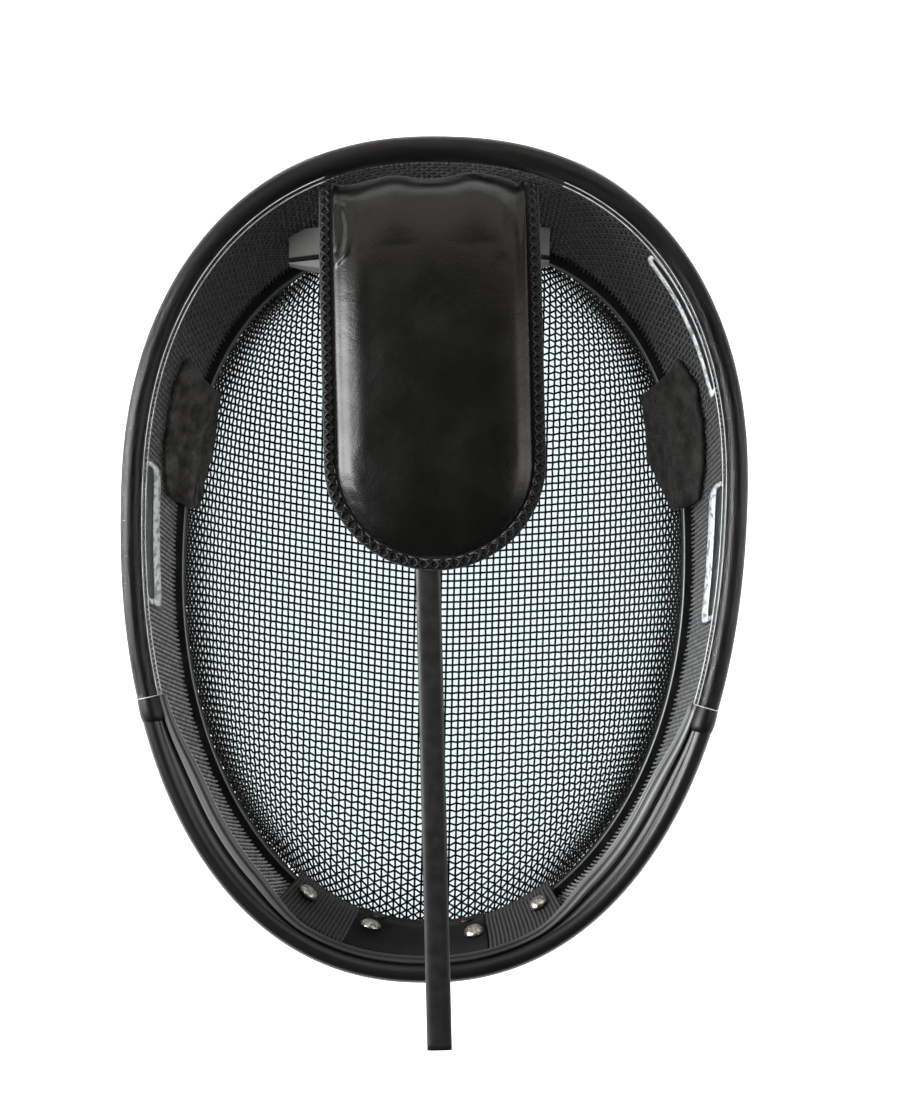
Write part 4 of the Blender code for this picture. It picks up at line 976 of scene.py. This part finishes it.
def makePad():
    # sections across the tongue: superellipses as wide as the outline, fuller in front than behind, with
    # the spring's channel through them
    p = padSize
    tip, top = padEnds()
    full = top - tip
    turn = np.linspace(math.radians(p["tipFrom"]), math.pi / 2, p["tipRows"])
    start = p["round"] * (1 - np.cos(turn))
    place = np.concatenate([start, np.linspace(start[-1], full, p["rows"] - len(start))[1:]])[:, None]
    grow = np.sin(np.minimum(place / p["round"], 1) * math.pi / 2)
    fade = np.sin(np.minimum((full - place) / p["topFade"], 1) * math.pi / 2)
    front = np.minimum(p["frontTip"] + (p["front"] - p["frontTip"]) * grow,
                       p["frontTop"] + (p["front"] - p["frontTop"]) * fade)
    sideShare, riseShare = superRing(1.0, 1.0, 1.0, p["power"], p["sides"])
    half = padHalf(place)
    across = half * sideShare
    height = riseShare * np.where(riseShare >= 0, front, p["seamUp"] - p["back"])
    relief = padFolds(across, full - place - p["topEdge"], half)
    frontFrom, frontOver = p["frontFrom"]
    height = height + p["seamUp"] + relief * np.clip((riseShare - frontFrom) / frontOver, 0, 1)
    across = across + p["shift"]
    scale = np.minimum(p["channelHalfWidth"] / np.maximum(np.abs(across), 1e-9),
                       p["channelHalfThick"] / np.maximum(np.abs(height), 1e-9))
    outer = tonguePoint(across, tip + place, height)
    inner = tonguePoint(across * scale, tip + place, height * scale)
    piece = addPipe("tonguePad", outer, inner, padVinyl(), "vinyl")
    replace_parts(piece, "tongue_pad")
    print("pad ready")


bindingSize = {"inner": -1.2, "outer": 4.2, "halfThick": 0.8, "short": 4.0, "pipingRadius": 0.3,
               "lacePitch": 7.0, "laceRadius": 0.6, "laceIn": 1.9, "laceSwing": 1.5, "laceRise": 0.45,
               "stitch": 3.4, "stitchPitch": 4.3, "stitchOut": 0.75, "stitchFrom": 33.0, "stitchRadius": 0.24,
               "stitchArch": 0.3, "stitchDown": 0.1, "laceUp": 0.1, "piping": (0.05, 0.3),
               "corner": (0.5, 3), "step": 0.6, "sides": 6, "pipingSides": 8,
               "straightPoints": 80, "curvePoints": 60}


def bindingPath():
    # the pad's outline from the top of its right side round the tip to the top of its left side
    b, tipRound = bindingSize, padSize["round"]
    tip, top = padEnds()
    full = top - tip - b["short"]
    straight = np.linspace(full, tipRound, b["straightPoints"])[:-1]
    curve = tipRound * (1 - np.cos(np.linspace(math.pi / 2, 0, b["curvePoints"])))
    fromTip = np.concatenate([straight, curve])
    half = padHalf(fromTip)
    across = np.concatenate([half, -half[:-1][::-1]])
    along = np.concatenate([fromTip, fromTip[:-1][::-1]])
    path = np.stack([across, along], axis=1)
    length = addUp(np.hypot(*np.diff(path, axis=0).T))
    even = np.linspace(0, length[-1], int(length[-1] / b["step"]))
    path = np.stack([np.interp(even, length, path[:, i]) for i in (0, 1)], axis=1)
    run = unit(np.gradient(path, axis=0))
    away = np.stack([-run[:, 1], run[:, 0]], axis=1)
    return even, path, away, tip


def makeBinding():
    b = bindingSize
    length, path, away, tip = bindingPath()

    def at(out, height, here=slice(None)):
        edge = path[here] + away[here] * np.asarray(out)[..., None]
        return tonguePoint(edge[:, 0] + padSize["shift"], tip + edge[:, 1], padSize["seamUp"] + height)

    thick = b["halfThick"]
    corners = [(b["inner"], -thick), (b["outer"], -thick), (b["outer"], thick), (b["inner"], thick)]
    profile = roundedProfile(corners, *b["corner"])
    rings = np.stack([at(out, height) for out, height in profile], axis=1)
    tape = plainCloth("binding tape", "#070707", 2600.0, 0.75)
    band = addLoft("padBinding", rings, tape, length=length)
    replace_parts(band, "pad_binding")
    # two laces crossing back and forth over the tape, half a pitch apart
    laces = []
    middle = b["outer"] - b["laceIn"]
    lift = at(middle, 1.0) - at(middle, 0.0)
    for start in (0.0, 0.5):
        swing = 2 * math.pi * (length / b["lacePitch"] + start)
        out = middle + b["laceSwing"] * np.sin(swing)
        height = thick + b["laceUp"] + b["laceRise"] * np.cos(2 * swing)
        laces.append(carryTube(at(out, height), b["laceRadius"], b["sides"], unit(lift)))
    addBundle("padLacing", laces, plainCloth("waxed lace", "#070708", 3000.0, 0.5))
    out, up = b["piping"]
    edge = carryTube(at(b["outer"] + out, up), b["pipingRadius"], b["pipingSides"], unit(lift))
    addBundle("padPiping", [edge], plainCloth("piping cord", "#3d3e42", 3000.0, 0.55))
    # a dashed row of stitches round the lower end, each a short arched thread
    stitches = []
    low = np.flatnonzero(path[:, 1] < b["stitchFrom"])
    for first in np.arange(length[low[0]], length[low[-1]], b["stitchPitch"]):
        here = np.flatnonzero((length >= first) & (length <= first + b["stitch"]))
        if len(here) > 3:
            arch = np.sin(np.linspace(0, math.pi, len(here)))
            height = thick - b["stitchDown"] + b["stitchArch"] * arch
            thread = at(b["stitchOut"], height, here)
            stitches.append(carryTube(thread, b["stitchRadius"], b["sides"], unit(lift[here])))
    addBundle("padStitches", stitches, plainCloth("sewing thread", "#6d6e72", 3000.0, 0.6))
    print("binding ready")


bumper = {"half": 48.7, "x": -7.5, "top": 104.0, "bottom": 88.0, "frontY": 126.7, "lean": 0.029, "sweep": 3.0,
          "block": 10.5, "strip": 1.1, "cushion": 6.0, "ends": 0.4, "bulge": 2.6, "corner": 0.6,
          "gap": 0.3, "offWall": 1.4, "footIn": 2, "footBelow": 4, "levels": 25, "columns": 81,
          "cornerShare": 0.35, "cornerSteps": 3,
          # the wall behind: share of the way round to either side, points along it, height of its second row
          "wall": (0.16, 641, 10.0)}


def wallYAt(x, z, lift):
    aside, count, up = bumper["wall"]
    share = np.linspace(-aside, aside, count)
    foot, head = wallPoint(share, 0.0, lift), wallPoint(share, up, lift)
    rise = (z - foot[:, 2]) / (head[:, 2] - foot[:, 2])
    line = foot + (head - foot) * rise[:, None]
    return np.interp(x, line[:, 0], line[:, 1])


def makeBumper():
    b = bumper
    spread = np.sin(np.linspace(-1, 1, b["columns"]) * math.pi / 2)
    x = b["x"] + spread * b["half"]
    front = b["frontY"] - b["sweep"] * spread ** 2 + b["lean"] * (x - b["x"])
    heights = np.linspace(b["bottom"], b["top"] - b["footBelow"], b["levels"])
    walls = np.stack([wallYAt(x, z, b["offWall"]) for z in heights])
    foot = np.array([np.interp(y + b["footIn"], wall, heights) for y, wall in zip(front, walls.T)])
    backFoot = np.array([wallYAt(p, z, b["offWall"]) for p, z in zip(x, foot)])
    backFoot = np.minimum(backFoot, front + b["block"])
    backTop = np.minimum(wallYAt(x, b["top"], b["offWall"]), front + b["block"])
    stripBack = front - b["gap"]
    stripFront = stripBack - b["strip"]
    cushionBack = stripFront - b["gap"]
    cushionFront = cushionBack - b["ends"] - b["cushion"] * (1 - np.abs(spread) ** b["bulge"])
    layers = [("foreheadBlock", "forehead_block", front, backFoot, backTop,
               foam("dark grey foam", "#7b7b7a", "#8d8d8b", 0.8), "grey_foam"),
              ("foreheadStrip", "forehead_strip", stripFront, stripBack, stripBack,
               foam("black foam", "#0a0a0a", "#161616", 0.8), "black_foam"),
              # the cushion is the block's grey foam, its paler tone painted light
              ("foreheadCushion", "forehead_cushion", cushionFront, cushionBack, cushionBack,
               foam("pale grey foam", "#909091", "#a4a4a5", 0.6), "pale_foam")]
    for name, node, near, farFoot, farTop, finish, slot in layers:
        rings = []
        for i in range(len(x)):
            thick = min(farTop[i] - near[i], farFoot[i] - near[i])
            corners = [(near[i], foot[i]), (near[i], b["top"]), (farTop[i], b["top"]), (farFoot[i], foot[i])]
            ring = roundedProfile(corners, min(b["corner"], b["cornerShare"] * thick), b["cornerSteps"])
            rings.append(np.stack([np.full(len(ring), x[i]), ring[:, 0], ring[:, 1]], axis=1))
        piece = addLoft(name, np.stack(rings), finish)
        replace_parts(piece, node)
    print("bumper ready")


# what lies over the seam: how far off the wires, the band and the dome's edge, and rows between two knots
skin = {"lift": 0.3, "wallWire": 1.0, "faceWire": 1.3, "edge": 0.998, "steps": 8}


def domeInside(share, turn, lift):
    # a point of the dome's inside, a turn below its edge
    angle = math.pi / 2 - np.broadcast_to(turn, share.shape)
    spread = np.sin(angle) ** (2 / cage["domePower"])
    centre = np.array([0.0, cage["seamCentreY"]])
    x, y = np.moveaxis(centre + (eggPoint(seam, share) - centre) * skin["edge"] * spread[..., None], -1, 0)
    point = np.stack([x, y, domeHeight(x, y)], axis=-1)
    return point + domeNormal(x, y) * np.asarray(lift)[..., None]


def skinRows(share, up, down):
    # down the side wall, over the band's inner edge and on to the dome, smoothed between six rows
    lift = skin["lift"]
    up = np.broadcast_to(up, share.shape)
    down = np.broadcast_to(down, share.shape)
    rows = [wallPoint(share, up * part, skin["wallWire"] + lift) for part in (1, 0.5)]
    rows += [seamPoint(share, cage["bandIn"] - lift, z)
             for z in (cage["bandTop"] + cage["gap"], cage["bandBottom"])]
    rows += [domeInside(share, down * part, skin["faceWire"] + lift) for part in (0.5, 1)]
    return smoothRoute(rows, skin["steps"])


def skinNormal(rows):
    # square to both runs of the sheet, towards the middle of the cage
    normal = unit(np.cross(np.gradient(rows, axis=1), np.gradient(rows, axis=0)))
    middle = np.array([0.0, 0.0, cage["rimHeight"]])
    return normal * np.sign(np.sum(normal * (middle - rows), axis=-1).mean())


def addSkin(name, rows, thick, finish):
    # a thin closed sheet: the rows' surface and the same surface moved off along its normals
    n, m = rows.shape[:2]
    outer = rows + skinNormal(rows) * thick
    quads = gridQuads(n, m)
    shift = n * m
    edge = np.concatenate([np.arange(m), np.arange(1, n) * m + m - 1, (n - 1) * m + np.arange(m - 2, -1, -1),
                           np.arange(n - 2, 0, -1) * m])
    nextEdge = np.roll(edge, -1)
    border = np.stack([edge, nextEdge, nextEdge + shift, edge + shift], axis=1)
    faces = [quads[:, ::-1], quads + shift, border]
    lengthU, lengthV = lengthAlong(rows[n // 2]), lengthAlong(rows[:, m // 2])
    uv = gridPairs(lengthV, lengthU)[..., ::-1].reshape(-1, 2)
    piece = addPiece(name, np.stack([rows, outer]), faces, finish, np.concatenate([uv, uv]))
    return piece, lengthU[-1], lengthV[-1]


patches = [
    # the same tape twice: the left patch's paler pile is painted light, the right patch's darker pile painted
    # shade
    {"name": "hookPatchLeft", "node": "hook_patch_left", "side": -1, "y": (29, 75),
     "up": (12, 19, 20, 23, 21), "down": (9, 11, 14, 12, 6),
     "pile": ("hook and loop pile", "#7d7c79")},
    {"name": "hookPatchRight", "node": "hook_patch_right", "side": 1, "y": (32, 80),
     "up": (10, 17, 20, 22, 17), "down": (7, 17, 22, 19, 15),
     "pile": ("fresh hook and loop pile", "#454442")},
]
pile = {"thick": 1.5, "hairs": 1500, "long": (0.4, 1.2), "radius": 0.05, "scatter": 0.25, "tilt": 0.7,
        "curl": 0.15, "frayEdge": 0.7, "frayTurn": 0.5, "crease": 0.4, "creases": 3.0, "creaseSlant": 0.5,
        "columns": 60, "fraySpan": 5, "rooted": 0.1}


def loosePile(rows):
    # short hairs standing off a sheet's face and its edges
    normal, count = skinNormal(rows), pile["hairs"]
    spots = (rows + normal * (pile["thick"] - pile["rooted"])).reshape(-1, 3)
    chosen = random.integers(len(spots), size=count)
    way = unit(normal.reshape(-1, 3)[chosen] + random.normal(0, pile["tilt"], (count, 3)))
    root = spots[chosen] + random.normal(0, pile["scatter"], (count, 3))
    reach = way * random.uniform(*pile["long"], (count, 1))
    curl = random.normal(0, pile["curl"], (count, 3))
    return [carryTube(np.stack([a, a + b * 0.5 + c, a + b]), pile["radius"], 3, b[[1, 2, 0]])
            for a, b, c in zip(root, reach, curl)]


def makePatches():
    for patch in patches:
        finish = hookFabric(*patch["pile"])
        step = np.linspace(0, 1, pile["columns"])
        low, high = shareAtY(seam, patch["y"][0]), shareAtY(seam, patch["y"][1])
        share = patch["side"] * (low + (high - low) * step)
        knots = np.linspace(0, 1, len(patch["up"]))
        span = pile["fraySpan"]
        fray = random.normal(0, 1.0, pile["columns"] + span - 1)
        fray = np.convolve(fray, np.ones(span) / span, mode="valid")
        up = np.interp(step, knots, patch["up"]) + pile["frayEdge"] * fray
        down = np.radians(np.interp(step, knots, patch["down"]) + pile["frayTurn"] * fray[::-1])
        rows = skinRows(share, up, down)
        # soft lengthwise creases: a slow sine over the sheet, lifted off its underside
        drop = np.linspace(0, 1, len(rows))[:, None]
        wave = 2 * math.pi * (pile["creases"] * drop + pile["creaseSlant"] * step[None, :]) + 1.0
        crease = pile["crease"] * (1 + np.sin(wave)) * np.sin(math.pi * drop)
        rows = rows + skinNormal(rows) * crease[..., None]
        piece, width, height = addSkin(patch["name"], rows, pile["thick"], finish)
        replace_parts(piece, patch["node"])
        fuzz = addBundle(patch["name"] + "Pile", loosePile(rows), finish)
    print("hook patches ready")


# the cloth at the chin: millimetres up the wall, degrees down the dome, thickness of each kind, and
# (name, node, kind, from, to) with the last two in millimetres along the seam from the chin
chin = {"webbing": (19.0, 2.5, 1.5), "tab": (20.0, 3.5, 1.8), "columns": 60,
        "pieces": [("chinWebbingLeft", "chin_webbing_left", "webbing", -28, -56),
                   ("chinWebbingRight", "chin_webbing_right", "webbing", 24, 53),
                   ("chinTab", "chin_tab", "tab", -27.7, 23.7)]}


def makeChin():
    cloth = {"webbing": ribbedWebbing(), "tab": plainCloth("coated tab cloth", "#030303", 1800.0, 0.95)}
    for name, node, kind, first, last in chin["pieces"]:
        up, down, thick = chin[kind]
        share = 0.5 - np.linspace(first, last, chin["columns"]) / seam["around"]
        rows = skinRows(share, up, math.radians(down))
        piece, width, height = addSkin(name, rows, thick, cloth[kind])
        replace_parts(piece, node)
    print("chin cloth ready")


# (name, node, side, (Y of its lower end, Y of its upper end), width across the wall)
labels = [("labelLeft", "label_left", -1, (-13, 36), 14.0), ("labelRight", "label_right", 1, (-15, 33), 14.0),
          ("labelUpper", "label_upper", 1, (60, 107), 6.0)]
labelBorder = {"seamSide": 0.42, "rimSide": 0.06, "ends": 0.035, "corner": 5.0, "lift": 1.86, "thick": 0.09,
               "inset": 0.02, "fromRim": 6.6, "filmLift": 1.5, "filmThick": 0.3,
               "filmGrid": (50, 12), "sides": 160}


def makeLabels():
    film, white = clearFilm(), whiteFilm()
    b = labelBorder
    across, tall = superRing(0.5, 0.5, 0.5, b["corner"], b["sides"])
    columns, lines = b["filmGrid"]
    for name, node, side, (lowY, highY), width in labels:
        low, high = shareAtY(seam, lowY), shareAtY(seam, highY)
        share = side * np.linspace(low, high, columns)
        top = wallFrame(share)[3] - b["fromRim"]
        rows = np.stack([wallPoint(share, top - width * s, b["filmLift"]) for s in np.linspace(1, 0, lines)])
        piece = addSkin(name, rows, b["filmThick"], film)[0]
        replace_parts(piece, node)
        # the white border: a flat band between a rounded outline and a smaller one nearer the rim
        outlines = []
        for ends, seamSide, rimSide in ((0.0, 0.0, 0.0), (b["ends"], b["seamSide"], b["rimSide"])):
            along = 0.5 + across * (1 - b["inset"] - 2 * ends)
            down = rimSide + (tall + 0.5) * (1 - seamSide - rimSide)
            spot = side * (low + (high - low) * along)
            fall = width * (b["inset"] + (1 - 2 * b["inset"]) * down)
            outlines.append((spot, wallFrame(spot)[3] - b["fromRim"] - fall))
        corners = [(0, 0), (0, b["thick"]), (1, b["thick"]), (1, 0)]
        rings = np.stack([wallPoint(*outlines[which], b["lift"] + up) for which, up in corners], axis=1)
        addLoft(name + "Border", rings, white, closed=True)
    print("labels ready")


# a rivet's head: (share of its radius, share of its height) from the crown of the head down to its seat
rivetHead = {"profile": [(0.03, 1.0), (0.35, 0.95), (0.62, 0.84), (0.84, 0.6), (0.96, 0.38), (1.0, 0.2),
                         (1.0, 0.0), (0.9, 0.0)],
             "sides": 32, "faces": (0.0, 40.0, 110.0), "flatten": (1, 1, 0.35), "shrink": 0.88}


def makeRivets():
    bright = platedSteel("nickel-plated steel", "#6d675f", "#d8d4cd", 0.32)
    # the inner rivets, under the band: the same plating, darkened as painted shade
    dull = platedSteel("worn plated steel", "#2c211d", "#57483f", 0.5)
    r = rivetHead
    turn = np.arange(r["sides"]) * 2 * math.pi / r["sides"]
    for node in sorted(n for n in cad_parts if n.startswith("rivet")):
        solid = bpy.data.objects[node]
        spots = np.empty(len(solid.data.vertices) * 3)
        solid.data.vertices.foreach_get("co", spots)
        spots = spots.reshape(-1, 3) * 1000
        centre = (spots.min(axis=0) + spots.max(axis=0)) / 2
        # the head's axis is the way in which its points spread least
        single = np.unique(spots.round(3), axis=0)
        ways = np.linalg.svd(single - single.mean(axis=0))[2]
        axis = ways[2] * np.sign(ways[2] @ (np.array(r["faces"]) - centre))
        axis = unit(axis * r["flatten"])                     # seen nearly edge on
        side = unit(np.cross(axis, upward))
        other = np.cross(axis, side)
        tall = (spots - centre) @ axis
        radius = np.abs((spots - centre) @ side).max() * r["shrink"]
        seat = centre + axis * tall.min()
        high = tall.max() - tall.min()
        circle = (side * np.cos(turn)[:, None] + other * np.sin(turn)[:, None]) * radius
        rings = [seat + circle * wide + axis * high * up for wide, up in r["profile"]]
        words = node.split("_")
        name = words[0] + "".join(word.capitalize() for word in words[1:])
        piece = addLoft(name, np.stack(rings), dull if "inner" in node else bright)
        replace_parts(piece, node)
    print("rivets ready")


makeFaceWires()
makeSideWires()
makeBand()
makeRoll()
makeEdging()
makeSpring()
makePad()
makeBinding()
makeBumper()
makePatches()
makeChin()
makeLabels()
makeRivets()


stageSet = {"floor": "#f7f8f8", "glow": 1.0, "floorHalf": 60000.0, "floorZ": -0.4,
            "plate": "#eafbfd", "plateGlow": 1.08, "plateScale": 1.085, "plateZ": -0.25, "plateSides": 240,
            "world": 0.06, "worldTint": "#f5efe8", "aim": (0, 0, 0.05)}


def addStage(name, points, finish):
    mesh = bpy.data.meshes.new(name)
    mesh.from_pydata((np.asarray(points) * 0.001).tolist(), [], [tuple(range(len(points)))])
    mesh.materials.append(finish)
    ground = bpy.data.objects.new(name, mesh)
    bpy.context.collection.objects.link(ground)


def makeFloor():
    # a pale opal table lit from below, and a brighter plate, a touch cooler, under the dome
    half, z = stageSet["floorHalf"], stageSet["floorZ"]
    opal = startMaterial("opal table", stageSet["floor"], 0.6, Emission_Color="#ffffff",
                         Emission_Strength=stageSet["glow"])[0]
    addStage("floor", [(-half, -half, z), (half, -half, z), (half, half, z), (-half, half, z)], opal)
    lit = startMaterial("lit plate", "#0a0a0a", 0.9, Specular_IOR_Level=0.0, Emission_Color=stageSet["plate"],
                        Emission_Strength=stageSet["plateGlow"])[0]
    sides = stageSet["plateSides"]
    outline = eggPoint(seam, -np.arange(sides) / sides) * stageSet["plateScale"]
    addStage("plate", np.concatenate([outline, np.full((sides, 1), stageSet["plateZ"])], axis=1), lit)


softboxes = {
    # name: (place, size, watts, colour); each faces the middle of the mask
    "left": ((-1.15, 0.05, 0.75), (0.5, 1.3), 38, "#ffffff"),
    "right": ((1.15, 0.0, 0.75), (0.5, 1.3), 6.8, "#fffbf6"),
    "crown": ((0.1, 1.2, 0.95), (2.4, 1.5), 11.5, "#fff9ee"),
}


def makeLights():
    for name, (place, (width, height), watts, tint) in softboxes.items():
        lamp = bpy.data.lights.new(name, "AREA")
        lamp.shape = "RECTANGLE"
        lamp.size, lamp.size_y = width, height
        lamp.energy = watts
        lamp.color = hexColour(tint)[:3]
        holder = bpy.data.objects.new(name, lamp)
        holder.location = place
        holder.rotation_euler = (Vector(stageSet["aim"]) - Vector(place)).to_track_quat("-Z", "Y").to_euler()
        bpy.context.collection.objects.link(holder)
    world = bpy.data.worlds.new("studio")
    bpy.context.scene.world = world
    world.use_nodes = True
    background = world.node_tree.nodes["Background"]
    background.inputs["Color"].default_value = hexColour(stageSet["worldTint"])
    background.inputs["Strength"].default_value = stageSet["world"]


shot = {"lens": 69.2, "sensor": 36.0, "place": (0.0062, 0.0135, 0.898), "roll": 1.13}


def makeCamera():
    lens = bpy.data.cameras.new("camera")
    lens.lens = shot["lens"]
    lens.sensor_width = shot["sensor"]
    camera = bpy.data.objects.new("camera", lens)
    camera.location = shot["place"]
    camera.rotation_euler = (0, 0, math.radians(shot["roll"]))
    bpy.context.collection.objects.link(camera)
    bpy.context.scene.camera = camera


makeFloor()
makeLights()
makeCamera()
bpy.context.scene.view_settings.view_transform = "Standard"
print("scene ready")
